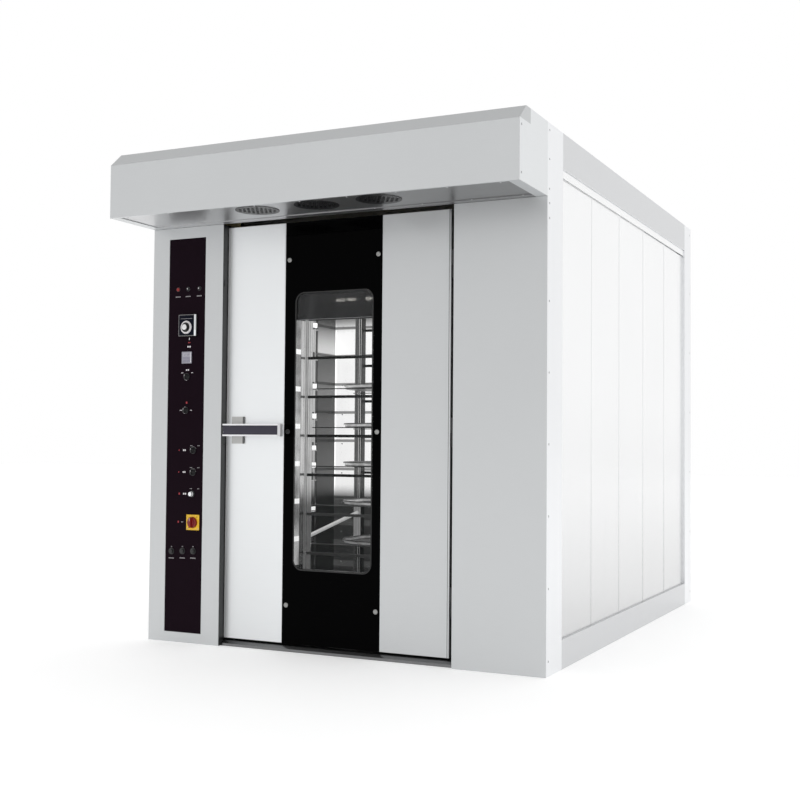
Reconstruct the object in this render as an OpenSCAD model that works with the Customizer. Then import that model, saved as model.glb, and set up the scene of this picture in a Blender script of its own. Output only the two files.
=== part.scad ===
// Rotating rack oven with a canopy hood, a control column and one hinged glass door.
// x runs to the right across the front, z runs up, and y in the modules counts backwards from the front
// plane of the body. The origin is at the bottom centre of the whole oven.

/* [Body] */
// Width of the cover to the right of the door
cover_w = 404; // [380:1:500]
// Depth of the oven behind its front plane
body_d = 2610; // [2560:5:2800]
// Height of the whole oven
body_h = 2200; // [2190:5:2300]
// Thickness of the folded steel sheets
sheet_t = 3; // [2:0.5:4]
// Depth of the channels that the posts and beams are folded into
channel_d = 60; // [50:1:65]
// Width of the front posts on the sides
front_post_w = 195; // [170:1:220]
// Width of the rear posts on the sides
rear_post_w = 163; // [140:1:190]
// Height of the beams along the top
top_beam_h = 150; // [130:1:165]
// Height of the beams along the bottom
bottom_beam_h = 120; // [100:1:140]
// Height of the trim strip under the side's top beam
trim_h = 33; // [20:1:50]
// How far the trim strip lies behind the frame's outer face
trim_inset = 6; // [3:1:10]
// How far the side panels lie behind the frame's outer face
panel_inset = 14; // [12:1:20]
// Width of the upright seam strips on the side panels
seam_w = 8; // [5:1:15]
// Height that the seam strips stand out from the side panels
seam_p = 2; // [1:0.5:3]
// Number of seam strips on each side panel
seam_n = 4; // [2:1:6]
// Depth of the machine well behind the parapet on the roof
well_d = 157; // [155:1:170]

/* [Hood] */
// How far the hood stands out from the body
hood_p = 318; // [290:1:350]
// Height of the hood from its underside to the roof
hood_h = 298; // [280:1:310]
// Depth of the bevel along the hood's top edge
hood_bevel_d = 70; // [50:1:90]
// Height of the bevel along the hood's top edge
hood_bevel_h = 62; // [45:1:80]
// Width of the rims at the ends and the back of the hood's underside
hood_rim = 45; // [35:1:55]
// Width of the lip folded in under the hood's front
hood_lip = 12; // [8:1:14]
// Radius of the three round vents in the underside
vent_r = 95; // [80:1:100]
// Distance between the vents
vent_pitch = 291; // [270:1:310]
// Place of the middle vent to the right of the oven's centre
vent_x = 24; // [0:1:60]
// Distance of the vents in front of the body
vent_p = 200; // [190:1:205]
// Radius of the holes in the vent grilles
vent_hole_r = 7; // [5:0.5:8]
// Distance between the holes in the vent grilles
vent_hole_pitch = 21; // [19:0.5:24]

/* [Control column] */
// Width of the control column
column_w = 388; // [370:1:400]
// Width of the opening for the control fascia
fascia_w = 202; // [190:1:215]
// Distance of the opening for the control fascia below the hood
fascia_top_gap = 52; // [36:1:76]
// Height of the fascia opening above the floor
fascia_z = 46; // [38:1:60]
// Distance of the fascia opening from the oven's left edge
fascia_x = 90; // [84:1:100]
// Thickness of the fascia plate
fascia_t = 4; // [3:0.5:6]
// How far the fascia plate laps behind the sheet around its opening
fascia_lap = 8; // [5:1:9]

/* [Controls] */
// Side of the square temperature controller
controller_w = 100; // [92:1:106]
// Height of the temperature controller's centre
controller_z = 1448; // [1430:1:1470]
// How far the controller's frame stands out from the fascia
controller_p = 9; // [6:0.5:12]
// Radius of the controller's dial knob
dial_r = 27; // [22:0.5:30]
// Side of the timer display
timer_w = 54; // [48:1:60]
// Height of the timer display's centre
timer_z = 1300; // [1290:1:1312]
// Radius of the selector knobs
selector_r = 13; // [11:0.5:15]
// Radius of the silver key switch
key_r = 12; // [10:0.5:14]
// Width of the yellow plate behind the isolator knob
isolator_w = 70; // [62:1:76]
// Height of the isolator knob's centre
isolator_z = 547; // [530:1:565]
// Radius of the isolator knob
isolator_r = 25; // [20:0.5:28]
// Radius of the push buttons
button_r = 10; // [8:0.5:12]
// Travel of the push buttons
button_travel = 4; // [3:0.5:5]
// Radius of the indicator lamps
lamp_r = 9; // [7:0.5:11]
// Length of the switch bodies behind the fascia
switch_l = 45; // [38:1:55]

/* [Door] */
// Width of the door
door_w = 1107; // [1090:1:1140]
// Thickness of the door
door_t = 90; // [84:1:96]
// How far the door's face lies behind the front plane
door_recess = 40; // [34:1:46]
// Gap between the door and the control column
door_gap = 3; // [2.5:0.5:5]
// Height of the door's lower edge
door_z = 34; // [32:1:40]
// Gap between the door and the hood
door_top_gap = 12; // [8:1:20]
// Distance from the door's right edge to the hinge axis
hinge_offset = 14; // [13:0.5:16]
// Thickness of the glass band and of the door's front skins
glass_t = 6; // [5:0.5:8]
// Distance of the glass band from the door's left edge
glass_x = 305; // [290:1:320]
// Width of the glass band
glass_w = 482; // [470:1:500]
// Width of the window
window_w = 389; // [370:1:395]
// Height of the window
window_h = 1224; // [1180:1:1260]
// Height of the window's lower edge
window_z = 354; // [330:1:380]
// Distance of the window from the glass band's left edge
window_x = 52; // [45:1:56]
// Radius of the window's corners
window_r = 45; // [35:1:60]
// Radius of the capped screws that hold the glass band
screw_r = 11; // [8:0.5:12]
// Distance of the screws from the glass band's long edges
screw_inset = 20; // [15:1:23]
// Distance of the upper and lower screws from the door's ends
screw_end = 166; // [150:1:180]
// How far the door's core lies inside its front skin on the handle side
core_inset = 18; // [16:1:24]
// Thickness of the door's gasket
gasket_t = 9.6; // [8:0.2:12]
// Width of the gasket
gasket_w = 18; // [14:1:22]

/* [Handle] */
// Distance of the handle's pivot from the door's left edge
handle_x = 66; // [60:1:72]
// Height of the handle's pivot
handle_z = 968; // [920:1:1020]
// Length of the handle bar
handle_l = 303; // [280:1:320]
// Length of the bar on the short side of its pivot
handle_tail = 47; // [35:1:50]
// Height of the handle bar
handle_h = 55; // [48:1:60]
// Thickness of the handle bar
handle_t = 20; // [16:1:24]
// Finger gap between the handle bar and the door
handle_gap = 40; // [34:1:50]
// Width of the waisted rosette
rosette_w = 64; // [58:1:70]
// Height of the waisted rosette
rosette_h = 121; // [110:1:130]
// Thickness of the rosette
rosette_t = 8; // [6:0.5:10]
// Radius of the handle's spindle
spindle_r = 10; // [8:0.5:11]
// How far the latch pawl reaches into its keeper
pawl_bite = 15; // [10:1:18]
// Thickness of the latch pawl
pawl_t = 12; // [10:1:14]

/* [Hinges] */
// Radius of the hinge knuckles
knuckle_r = 8; // [7:0.5:9]
// Radius of the hinge pins
pin_r = 5; // [4:0.5:5.5]
// Length of one hinge knuckle
knuckle_l = 60; // [50:1:80]
// Number of hinges
hinge_n = 3; // [2:1:4]
// Distance of the outer hinges from the door's ends
hinge_end = 230; // [180:1:300]

/* [Chamber] */
// How far the baking chamber's side walls stand out past the door's edges
chamber_out = 71.5; // [62:0.5:82]
// Distance of the chamber's back wall behind the front plane
chamber_y = 1182; // [1170:1:1220]
// Thickness of the door surround
surround_t = 40; // [34:1:48]
// Width of the doorway
doorway_w = 960; // [940:1:980]
// Distance of the doorway's upper edge below the door's upper edge
doorway_top_gap = 50; // [41:1:66]
// Height of the base frame under the chamber
base_h = 24; // [20:1:26]
// Thickness of the insulation in the walls
wall_t = 120; // [110:1:130]
// Thickness of the insulation in the roof
roof_t = 90; // [80:1:100]
// Length of the insulated envelope behind the front plane
envelope_y = 2250; // [2230:1:2300]
// Width of the slotted strip in each air duct panel
slot_w = 62; // [50:1:80]
// Distance of the slotted strip behind the front plane
slot_y = 902; // [880:1:920]
// Height of one air slot
slot_h = 40; // [30:1:60]
// Distance between the air slots
slot_pitch = 158; // [140:1:170]
// Number of air slots in each duct panel
slot_n = 10; // [6:1:11]
// Distance of the lamp strip on the back wall below the chamber's ceiling
lamp_drop = 257; // [207:1:297]
// Length of the lamp strip
lamp_l = 1230; // [1100:1:1228]

/* [Rack] */
// Distance of the rack's axis behind the front plane
rack_y = 670; // [660:1:680]
// Width of the rack across the front
rack_w = 732; // [700:1:760]
// Depth of the rack
rack_d = 580; // [560:1:590]
// Side of the rack's square posts
post_w = 40; // [36:1:44]
// Wall of the rack's posts and of its frame tubes
tube_wall = 3; // [2:0.5:4]
// Height of the rack's frame tubes
tube_w = 30; // [26:1:34]
// Distance of the rack's top below the chamber's ceiling
rack_drop = 217; // [187:1:247]
// Number of guard bars on each side of the rack
bar_n = 8; // [6:1:8]
// Height of the lowest guard bar
bar_z = 214; // [205:1:225]
// Distance between the guard bars
bar_pitch = 183; // [170:1:188]
// Height of a guard bar
bar_h = 13; // [10:1:16]
// Thickness of a guard bar
bar_t = 8; // [6:1:10]
// Radius of the diagonal brace
brace_r = 9; // [7:0.5:11]
// Number of trays
tray_n = 6; // [1:1:6]
// Length of a tray
tray_l = 560; // [520:1:580]
// Gap between the trays and the rack's posts on both sides
tray_gap = 5; // [3:1:8]
// Gap between the trays' open end and the rack's end
tray_end = 46; // [42:1:60]
// Radius of a tray's round end corners
tray_r = 200; // [120:1:230]
// Height of a tray's rim
tray_rim = 8; // [5:1:12]
// Height of the trays' underside above the guard bars
tray_lift = 42; // [30:1:60]
// Width of the slides that carry the trays
slide_w = 16; // [14:1:20]
// Thickness of the slides that carry the trays
slide_t = 4; // [3:0.5:5]

/* [Castors] */
// Radius of the castor wheels
wheel_r = 45; // [40:1:48]
// Width of the castor wheels
wheel_w = 24; // [20:1:28]
// Height at which the hanging rack's wheels clear the chamber floor
wheel_lift = 18; // [12:1:20]
// Distance from a castor's swivel to its axle
castor_trail = 22; // [18:1:26]
// Radius of the castor axles
axle_r = 5; // [4:0.5:6]
// Distance of the castors from the rack's ends
castor_inset = 46; // [40:1:60]

/* [Drive] */
// Radius of the rack's drive shaft
shaft_r = 20; // [16:1:22]
// Length of the hanger's crossbar
hanger_l = 480; // [440:1:520]
// Width of the hanger's crossbar
hanger_w = 50; // [44:1:60]
// Side of the drive's gearbox
gearbox_w = 170; // [150:1:190]
// Height of the drive's gearbox
gearbox_h = 124; // [120:1:128]
// Radius of the drive motor
motor_r = 52; // [48:1:55]
// Length of the drive motor
motor_l = 230; // [200:1:260]

/* [Heating] */
// Radius of the combustion drum
drum_r = 230; // [210:1:250]
// Length of the combustion drum
drum_l = 680; // [640:1:720]
// Height of the combustion drum's centre
drum_z = 380; // [360:1:400]
// Radius of the heat exchanger tubes
exchanger_tube_r = 30; // [24:1:34]
// Number of heat exchanger tubes in each of two rows
exchanger_tube_n = 6; // [4:1:6]
// Height of the flue header above the floor
header_z = 1150; // [1100:1:1200]
// Radius of the flue pipe
flue_r = 75; // [65:1:85]
// Radius of the burner's blast tube
blast_r = 70; // [60:1:80]
// Width of the burner
burner_w = 300; // [260:1:340]
// Height of the burner
burner_h = 260; // [240:1:300]
// Length of the burner
burner_l = 300; // [260:1:310]

/* [Fans] */
// Radius of the circulation fan's impeller
impeller_r = 220; // [200:1:240]
// Height of the circulation fan's impeller
impeller_h = 130; // [110:1:140]
// Number of blades on the circulation fan
impeller_n = 12; // [8:1:16]
// Place of the circulation fan to the left of the rack's axis
fan_x = 300; // [270:1:340]
// Distance of the circulation fan behind the front plane
fan_y = 1640; // [1600:1:1680]
// Radius of the circulation fan's motor
fan_motor_r = 88; // [80:1:95]
// Radius of the hood fan's round housing
hood_fan_r = 66; // [58:1:68]
// Length of the hood fan's housing
hood_fan_l = 90; // [80:1:110]
// Number of blades on the hood fan
hood_fan_n = 6; // [4:1:8]
// Radius of the exhaust spigot on the hood's duct
spigot_r = 60; // [50:1:70]

/* [Steam] */
// Number of steam troughs
trough_n = 6; // [4:1:7]
// Clearance on each side of the steam troughs between the duct and the wall
trough_gap = 20; // [15:1:25]
// Length of a steam trough
trough_l = 600; // [540:1:640]
// Height of a steam trough
trough_h = 50; // [44:1:60]
// Distance between the steam troughs
trough_pitch = 200; // [180:1:220]

/* [Hidden] */
$fn = 48;
// Gap at seams between fixed pieces, and clearance of pieces that turn or slide
seam = 0.2;
fit = 0.3;

// Body and roof
body_w = column_w + door_gap + door_w + 2 * hinge_offset + cover_w;
half_w = body_w / 2;
front_y = -(body_d - hood_p) / 2;
inner_x = half_w - channel_d - seam;
rear_y = body_d - channel_d - seam;
base_rail_x = inner_x - channel_d - seam;
deck_z = body_h - well_d;
roof_z = deck_z - sheet_t - roof_t;
ceiling_z = roof_z - sheet_t;
lamp_z = ceiling_z - lamp_drop;
rack_top = ceiling_z - rack_drop;
floor_z = base_h + sheet_t;
hood_z = body_h - hood_h;

// Control column and fascia
fascia_h = hood_z - fascia_top_gap - fascia_z;
column_x = -half_w + column_w;
fascia_x0 = -half_w + fascia_x;
fascia_mid = fascia_x0 + fascia_w / 2;
fascia_y = sheet_t + seam;
fascia_y1 = fascia_y + fascia_t;
bezel_t = 3;
neck_r = 13;
stem_r = 5;
switch_w = 34;
controller_x = fascia_mid + 9;
timer_x = fascia_mid + 4;
lamp_at = [[fascia_mid - 51, 1614], [fascia_mid + 5, 1618], [fascia_mid + 67, 1618]];
selector_at = [
    [fascia_mid + 4, 1212], [fascia_mid, 1058], [fascia_mid + 45, 875], [fascia_mid + 45, 775]
];
key_at = [fascia_mid + 42, 676];
isolator_at = [fascia_mid + 49, isolator_z];
button_at = [[fascia_mid - 68, 412], [fascia_mid - 7, 415], [fascia_mid + 52, 417]];
dial_at = [controller_x - 7, controller_z - 9];

// Door, window and handle
door_x0 = column_x + door_gap;
door_x1 = door_x0 + door_w;
door_y1 = door_recess + door_t;
door_z1 = hood_z - door_top_gap;
hinge_x = door_x1 + hinge_offset;
cover_x = hinge_x + hinge_offset;
core_x = door_x0 + core_inset;
core_y = door_recess + glass_t;
glass_x0 = door_x0 + glass_x;
glass_x1 = glass_x0 + glass_w;
window_x0 = glass_x0 + window_x;
window_x1 = window_x0 + window_w;
window_z1 = window_z + window_h;
stiffener_w = 30;
screw_xs = [glass_x0 + screw_inset, glass_x1 - screw_inset];
screw_zs = [door_z + screw_end, (door_z + door_z1) / 2, door_z1 - screw_end];
pivot_x = door_x0 + handle_x;
handle_y0 = door_recess - handle_gap - handle_t;
handle_y1 = door_recess - handle_gap;
sleeve_r = spindle_r + 6;
pawl_l = handle_x + door_gap + sheet_t + pawl_bite;
pawl_y = door_recess + door_t / 2 + 5;
pawl_slot = [pawl_y - 4, pawl_y + pawl_t + 4];
slot_z = [handle_z - pawl_l + 20, handle_z + spindle_r + 8];
keeper_x = column_x - sheet_t - pawl_bite - 5;
hinge_zs = [for (i = [0 : hinge_n - 1])
    door_z + hinge_end + i * (door_z1 - door_z - 2 * hinge_end) / (hinge_n - 1)];

// Door surround, chamber and ducts
rack_x = (door_x0 + door_x1) / 2;
surround_y = door_y1 + gasket_t + 2 * seam;
surround_y1 = surround_y + surround_t;
doorway_x0 = rack_x - doorway_w / 2;
doorway_x1 = rack_x + doorway_w / 2;
doorway_z = door_z1 - doorway_top_gap;
doorway_h = doorway_z - door_z;
chamber_w = door_w + 2 * chamber_out;
duct_x0 = rack_x - chamber_w / 2;
duct_x1 = rack_x + chamber_w / 2;
wall_x = inner_x - wall_t;
liner_x = wall_x - seam - sheet_t;
liner_y = surround_y1 + seam;
rear_liner_y = envelope_y - wall_t - sheet_t;
base_rails = [liner_y, (liner_y + envelope_y) / 2, envelope_y - channel_d];
trough_w = liner_x - duct_x1 - sheet_t - 2 * (trough_gap + 12);
steam_x = (duct_x1 + sheet_t + liner_x) / 2;
steam_y = rack_y - trough_l / 2;
feed_at = [steam_x, steam_y + 40];
feed_r = 8;

// Rack, trays and castors, in the rack's own frame
post_x = rack_w / 2 - post_w / 2;
post_y = rack_d / 2 - post_w / 2;
wheel_z = floor_z + wheel_lift + wheel_r;
fork_top = wheel_z + wheel_r + 6;
plate_t = 6;
rack_bottom = fork_top + seam + plate_t;
castor_x = rack_w / 2 - castor_inset;
castor_y = rack_d / 2 - castor_inset;
tray_w = rack_d - 2 * post_w - 2 * tray_gap;
tray_x = rack_w / 2 - tray_end - tray_l;
tray_zs = [for (i = [0 : tray_n - 1]) bar_z + i * bar_pitch + tray_lift];
cross_x = hanger_l / 2 - tube_w / 2 - 9;
brace_z = [466, 562];

// Heating and fans
exchanger_y = chamber_y + 150;
drum_y1 = exchanger_y + drum_l;
drum_wall = 4;
manifold_x = 110;
manifold_z = drum_z + drum_r + 40;
header_h = 150;
header_x = [rack_x - manifold_x - 20, rack_x + 280];
flue_at = [rack_x + 190, drum_y1 - 160];
fan_at = [rack_x - fan_x, fan_y];
fan_plate_z = ceiling_z - 310;
impeller_z = ceiling_z - impeller_h - 140;
fan_shaft_r = 14;
hood_fan_at = [cover_x + 70, deck_z + 72];
hood_motor_r = 36;
hood_shaft_r = 6;
damper_z = body_h - 80;
motor_z = deck_z + gearbox_h / 2;

// ---- Shared shapes ----

// Moves what is measured from the front plane into the oven's own frame
module at_front()
    translate([0, front_y, 0]) children();

// Repeats what is on the right on the left as well
module both_sides() {
    children();
    mirror([1, 0, 0]) children();
}

// Box between two limits along x, y and z
module block(x, y, z)
    translate([x[0], y[0], z[0]]) cube([x[1] - x[0], y[1] - y[0], z[1] - z[0]]);

// Round bars between two limits along x, y or z
module round_x(x, y, z, r)
    translate([x[0], y, z]) rotate([0, 90, 0]) cylinder(h = x[1] - x[0], r = r);
module round_y(x, y, z, r)
    translate([x, y[0], z]) rotate([-90, 0, 0]) cylinder(h = y[1] - y[0], r = r);
module round_z(x, y, z, r)
    translate([x, y, z[0]]) cylinder(h = z[1] - z[0], r = r);

// Repeats what is at the rack's axis
module at_rack()
    at_front() translate([rack_x, rack_y, 0]) children();

// Right side's channel with its web outwards, open along its length
module side_post(y, z)
    difference() {
        block([half_w - channel_d, half_w], y, z);
        block([half_w - channel_d - 1, half_w - sheet_t], [y[0] + sheet_t, y[1] - sheet_t],
            [z[0] - 1, z[1] + 1]);
    }
module side_beam(y, z)
    difference() {
        block([half_w - channel_d, half_w], y, z);
        block([half_w - channel_d - 1, half_w - sheet_t], [y[0] - 1, y[1] + 1],
            [z[0] + sheet_t, z[1] - sheet_t]);
    }

// Channel across the rear with its web at the back
module rear_beam(z)
    difference() {
        block([-inner_x, inner_x], [body_d - channel_d, body_d], z);
        block([-inner_x - 1, inner_x + 1], [body_d - channel_d - 1, body_d - sheet_t],
            [z[0] + sheet_t, z[1] - sheet_t]);
    }

// Pillar with a rectangular front edge at the front plane, its return and its rear flange
module folded_cover(x, return_x, flange_x) {
    block(x, [0, sheet_t], [0, hood_z]);
    block(return_x, [0, surround_y - seam], [0, hood_z]);
    block(flange_x, [surround_y - seam - sheet_t, surround_y - seam], [0, hood_z]);
}

// ---- Body ----

module body_frame() color("gainsboro") at_front() {
    y_post = [sheet_t, front_post_w];
    y_rear = [body_d - rear_post_w, body_d];
    y_beam = [front_post_w + seam, body_d - rear_post_w - seam];
    both_sides() {
        side_post(y_post, [0, body_h]);
        side_post(y_rear, [0, body_h]);
        side_beam(y_beam, [body_h - top_beam_h, body_h]);
        side_beam(y_beam, [0, bottom_beam_h]);
        block([inner_x - channel_d, inner_x], [liner_y, rear_y], [0, base_h]);
    }
    rear_beam([body_h - top_beam_h, body_h]);
    rear_beam([0, bottom_beam_h]);
    block([-channel_d, channel_d], [body_d - sheet_t, body_d],
        [bottom_beam_h + seam, body_h - top_beam_h - seam]);
    for (y = base_rails)
        block([-base_rail_x, base_rail_x], [y, y + channel_d], [0, base_h]);
    header();
    roof_deck();
}

// Upright plates that join the front posts above the covers, round the fan's square passage
module header() {
    y = [0, sheet_t - seam];
    hole = hood_fan_r - sheet_t;
    x = hood_fan_at[0] - hole;
    block([-half_w, x - seam], y, [hood_z + seam, body_h]);
    block([x + 2 * hole + seam, half_w], y, [hood_z + seam, body_h]);
    block([x, x + 2 * hole], y, [hood_z + seam, hood_fan_at[1] - hole]);
    block([x, x + 2 * hole], y, [hood_fan_at[1] + hole, body_h]);
    block([seam - inner_x, inner_x - seam], [sheet_t, channel_d], [body_h - sheet_t, body_h]);
}

// Sheet that carries the drive, the fan motor and the ducts behind the parapet
module roof_deck()
    difference() {
        block([-inner_x, inner_x], [sheet_t + seam, rear_y], [deck_z - sheet_t, deck_z]);
        roof_holes();
    }

// Passages through the roof for the shafts, the flue and the water feed
module roof_holes() {
    z = [ceiling_z - 1, deck_z + 1];
    round_z(rack_x, rack_y, z, shaft_r + 4);
    round_z(fan_at[0], fan_at[1], z, fan_shaft_r + 4);
    round_z(flue_at[0], flue_at[1], z, flue_r + fit);
    round_z(feed_at[0], feed_at[1], z, feed_r + fit);
}

module side_panels() color("white") at_front()
    both_sides() {
        y = [front_post_w + seam, body_d - rear_post_w - seam];
        z1 = body_h - top_beam_h - seam;
        panel_x = half_w - panel_inset;
        block([panel_x - sheet_t, panel_x], y, [bottom_beam_h + seam, z1 - trim_h - seam]);
        for (i = [1 : seam_n])
            block([panel_x - 1, panel_x + seam_p],
                [0, seam_w] + [1, 1] * (y[0] + i * (y[1] - y[0]) / (seam_n + 1)),
                [bottom_beam_h + seam, z1 - trim_h - seam]);
        block([half_w - trim_inset - sheet_t, half_w - trim_inset], y, [z1 - trim_h, z1]);
    }

module rear_service_panels() color("gainsboro") at_front()
    both_sides()
        difference() {
            block([channel_d + seam, half_w - channel_d - seam], [body_d - sheet_t, body_d],
                [bottom_beam_h + seam, body_h - top_beam_h - seam]);
            for (i = [0 : 9])
                block([channel_d + 120, half_w - channel_d - 120],
                    [body_d - sheet_t - 1, body_d + 1],
                    [0, 12] + [1, 1] * (bottom_beam_h + 120 + 40 * i));
        }

module insulation() color("khaki") at_front() {
    z = [floor_z, roof_z - seam];
    y_front = [surround_y, surround_y1];
    y_rear = [envelope_y - wall_t, envelope_y];
    block([-inner_x, column_x - seam], y_front, z);
    block([cover_x + seam, inner_x], y_front, z);
    both_sides()
        block([wall_x, inner_x], [liner_y, y_rear[0] - seam], z);
    difference() {
        block([-inner_x, inner_x], y_rear, z);
        round_y(rack_x, [y_rear[0] - 1, y_rear[1] + 1], drum_z, blast_r + fit);
    }
    difference() {
        block([-inner_x, inner_x], [surround_y, envelope_y], [roof_z, deck_z - sheet_t]);
        roof_holes();
    }
    for (i = [0, 1])
        block([-base_rail_x, base_rail_x],
            [base_rails[i] + channel_d + seam, base_rails[i + 1] - seam], [seam, base_h]);
}

module chamber_liner() color("silver") at_front() {
    z = [floor_z, ceiling_z - seam];
    block([-inner_x, inner_x], [liner_y, envelope_y], [base_h, floor_z]);
    both_sides()
        block([liner_x, liner_x + sheet_t], [liner_y, rear_liner_y - seam], z);
    difference() {
        block([-liner_x, liner_x], [liner_y, rear_liner_y - seam], [ceiling_z, roof_z]);
        roof_holes();
    }
    difference() {
        block([-liner_x - sheet_t, liner_x + sheet_t], [rear_liner_y, rear_liner_y + sheet_t], z);
        round_y(rack_x, [rear_liner_y - 1, rear_liner_y + sheet_t + 1], drum_z, blast_r + fit);
    }
    block([duct_x0 - sheet_t, duct_x1 + sheet_t], [chamber_y, chamber_y + sheet_t], z);
    fan_plate();
    block([duct_x0 - sheet_t, duct_x0], [chamber_y + sheet_t + seam, rear_liner_y - seam],
        [floor_z, fan_plate_z - seam]);
}

// Shelf between the heat exchanger and the circulation fan, with the fan's inlet
module fan_plate()
    difference() {
        block([-liner_x + seam, liner_x - seam], [chamber_y + sheet_t + seam, rear_liner_y - seam],
            [fan_plate_z, fan_plate_z + sheet_t]);
        round_z(fan_at[0], fan_at[1], [fan_plate_z - 1, fan_plate_z + sheet_t + 1],
            impeller_r - 55);
        round_z(flue_at[0], flue_at[1], [fan_plate_z - 1, fan_plate_z + sheet_t + 1],
            flue_r + fit);
    }

module air_duct_panels() color("lightgray") at_front() {
    duct_panel();
    translate([2 * rack_x, 0, 0]) mirror([1, 0, 0]) duct_panel();
}

// Chamber's left wall with its column of air slots, a lip under each and one long slot
module duct_panel() {
    z_slots = [for (i = [0 : slot_n - 1]) floor_z + 60 + i * slot_pitch];
    difference() {
        block([duct_x0 - sheet_t, duct_x0], [liner_y, chamber_y - seam],
            [floor_z, ceiling_z - seam]);
        for (z = z_slots)
            block([duct_x0 - sheet_t - 1, duct_x0 + 1], [slot_y + 6, slot_y + slot_w - 6],
                [z, z + slot_h]);
        block([duct_x0 - sheet_t - 1, duct_x0 + 1], [0, 18] + [1, 1] * (slot_y + slot_w + 4),
            [z_slots[0], z_slots[slot_n - 1] + slot_h]);
    }
    for (z = z_slots)
        block([duct_x0 - sheet_t, duct_x0 + 14], [slot_y, slot_y + slot_w], [z - 3, z]);
}

module door_surround() color("silver") at_front() {
    y = [surround_y, surround_y1];
    z1 = roof_z - seam;
    block([column_x, doorway_x0], y, [0, z1]);
    block([doorway_x1, cover_x], y, [0, z1]);
    block([doorway_x0 + seam, doorway_x1 - seam], y, [doorway_z, z1]);
    block([doorway_x0 + seam, doorway_x1 - seam], y, [0, floor_z]);
    threshold();
}

// Dark plate on the floor under the door, with a sloping front edge
module threshold()
    color("dimgray") translate([column_x + seam, 0, 0]) rotate([90, 0, 90])
        linear_extrude(height = cover_x - column_x - 2 * seam)
            polygon([
                [door_recess - 20, 0], [door_recess - 20, base_h / 2], [door_recess, base_h],
                [surround_y - seam, base_h], [surround_y - seam, 0]
            ]);

module right_cover() color("lightgray") at_front()
    folded_cover([cover_x, half_w], [cover_x, cover_x + sheet_t], [cover_x, cover_x + channel_d]);

// Column's front, its return in plates round the latch's slot, and the return's rear flange
module control_column() color("lightgray") at_front() {
    x = [column_x - sheet_t, column_x];
    y = [sheet_t + seam, surround_y - seam];
    difference() {
        block([-half_w, column_x], [0, sheet_t], [0, hood_z]);
        block([fascia_x0, fascia_x0 + fascia_w], [-1, sheet_t + 1],
            [fascia_z, fascia_z + fascia_h]);
    }
    block(x, y, [0, slot_z[0] - seam]);
    block(x, y, [slot_z[1] + seam, hood_z]);
    block(x, [y[0], pawl_slot[0]], slot_z);
    block(x, [pawl_slot[1], y[1]], slot_z);
    block([column_x - channel_d / 2, x[0] - seam], [y[1] - sheet_t, y[1]], [0, hood_z]);
}

// ---- Control panel ----

module control_fascia() color([0.13, 0.07, 0.10]) at_front()
    difference() {
        block([fascia_x0 - fascia_lap, fascia_x0 + fascia_w + fascia_lap], [fascia_y, fascia_y1],
            [fascia_z - fascia_lap, fascia_z + fascia_h + fascia_lap]);
        for (p = concat(selector_at, [key_at, isolator_at], button_at))
            round_y(p[0], [fascia_y - 1, fascia_y1 + 1], p[1], neck_r + seam);
        for (p = lamp_at)
            round_y(p[0], [fascia_y - 1, fascia_y1 + 1], p[1], lamp_r - 1 + seam);
        square_hole(controller_x, controller_z, controller_w - 14);
        square_hole(timer_x, timer_z, timer_w - 8);
    }

// Square hole through the fascia
module square_hole(x, z, w)
    block([x - w / 2 - seam, x + w / 2 + seam], [fascia_y - 1, fascia_y1 + 1],
        [z - w / 2 - seam, z + w / 2 + seam]);

module switch_bodies() color([0.15, 0.15, 0.16]) at_front() {
    for (p = selector_at)
        rotary_body(p, selector_r + 3);
    rotary_body(key_at, key_r + 3);
    rotary_body(isolator_at, 0);
    for (p = button_at)
        button_body(p);
}

// Switch behind the fascia, its neck and its bezel, bored for a knob's stem
module rotary_body(p, bezel_r)
    difference() {
        union() {
            if (bezel_r > 0)
                round_y(p[0], [fascia_y - bezel_t, fascia_y], p[1], bezel_r);
            round_y(p[0], [fascia_y, fascia_y1 + 1], p[1], neck_r);
            switch_block(p);
        }
        round_y(p[0], [fascia_y - bezel_t - 1, fascia_y1 + 20], p[1], stem_r + fit);
    }

// Switch with a guide for the push button's cap and a bore for its stem
module button_body(p)
    difference() {
        union() {
            round_y(p[0], [fascia_y - bezel_t, fascia_y], p[1], button_r + 5);
            round_y(p[0], [fascia_y, fascia_y1 + 1], p[1], neck_r);
            switch_block(p);
        }
        round_y(p[0], [fascia_y - bezel_t - 1, fascia_y + button_travel + 1], p[1],
            button_r + fit);
        round_y(p[0], [fascia_y, fascia_y1 + 20 + button_travel], p[1], stem_r + fit);
    }

module switch_block(p)
    block([p[0] - switch_w / 2, p[0] + switch_w / 2], [fascia_y1, fascia_y1 + switch_l],
        [p[1] - switch_w / 2, p[1] + switch_w / 2]);

module indicator_lamps() color("firebrick") at_front()
    for (p = lamp_at) {
        round_y(p[0], [fascia_y - 6, fascia_y], p[1], lamp_r);
        round_y(p[0], [fascia_y - 1, fascia_y1 + 22], p[1], lamp_r - 1);
    }

module temperature_controller() color([0.12, 0.12, 0.13]) at_front()
    difference() {
        instrument(controller_x, controller_z, controller_w, controller_p, 14, 60);
        round_y(dial_at[0], [fascia_y - controller_p - 1, fascia_y + 14], dial_at[1],
            stem_r + fit);
    }

module timer_display() color("darkgray") at_front()
    instrument(timer_x, timer_z, timer_w, 6, 8, 50);

// Panel instrument: a frame in front of the fascia and a smaller case through its hole
module instrument(x, z, w, front, border, depth) {
    block([x - w / 2, x + w / 2], [fascia_y - front, fascia_y], [z - w / 2, z + w / 2]);
    block([x - w / 2 + border / 2, x + w / 2 - border / 2], [fascia_y - 1, fascia_y1 + depth],
        [z - w / 2 + border / 2, z + w / 2 - border / 2]);
}

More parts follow.
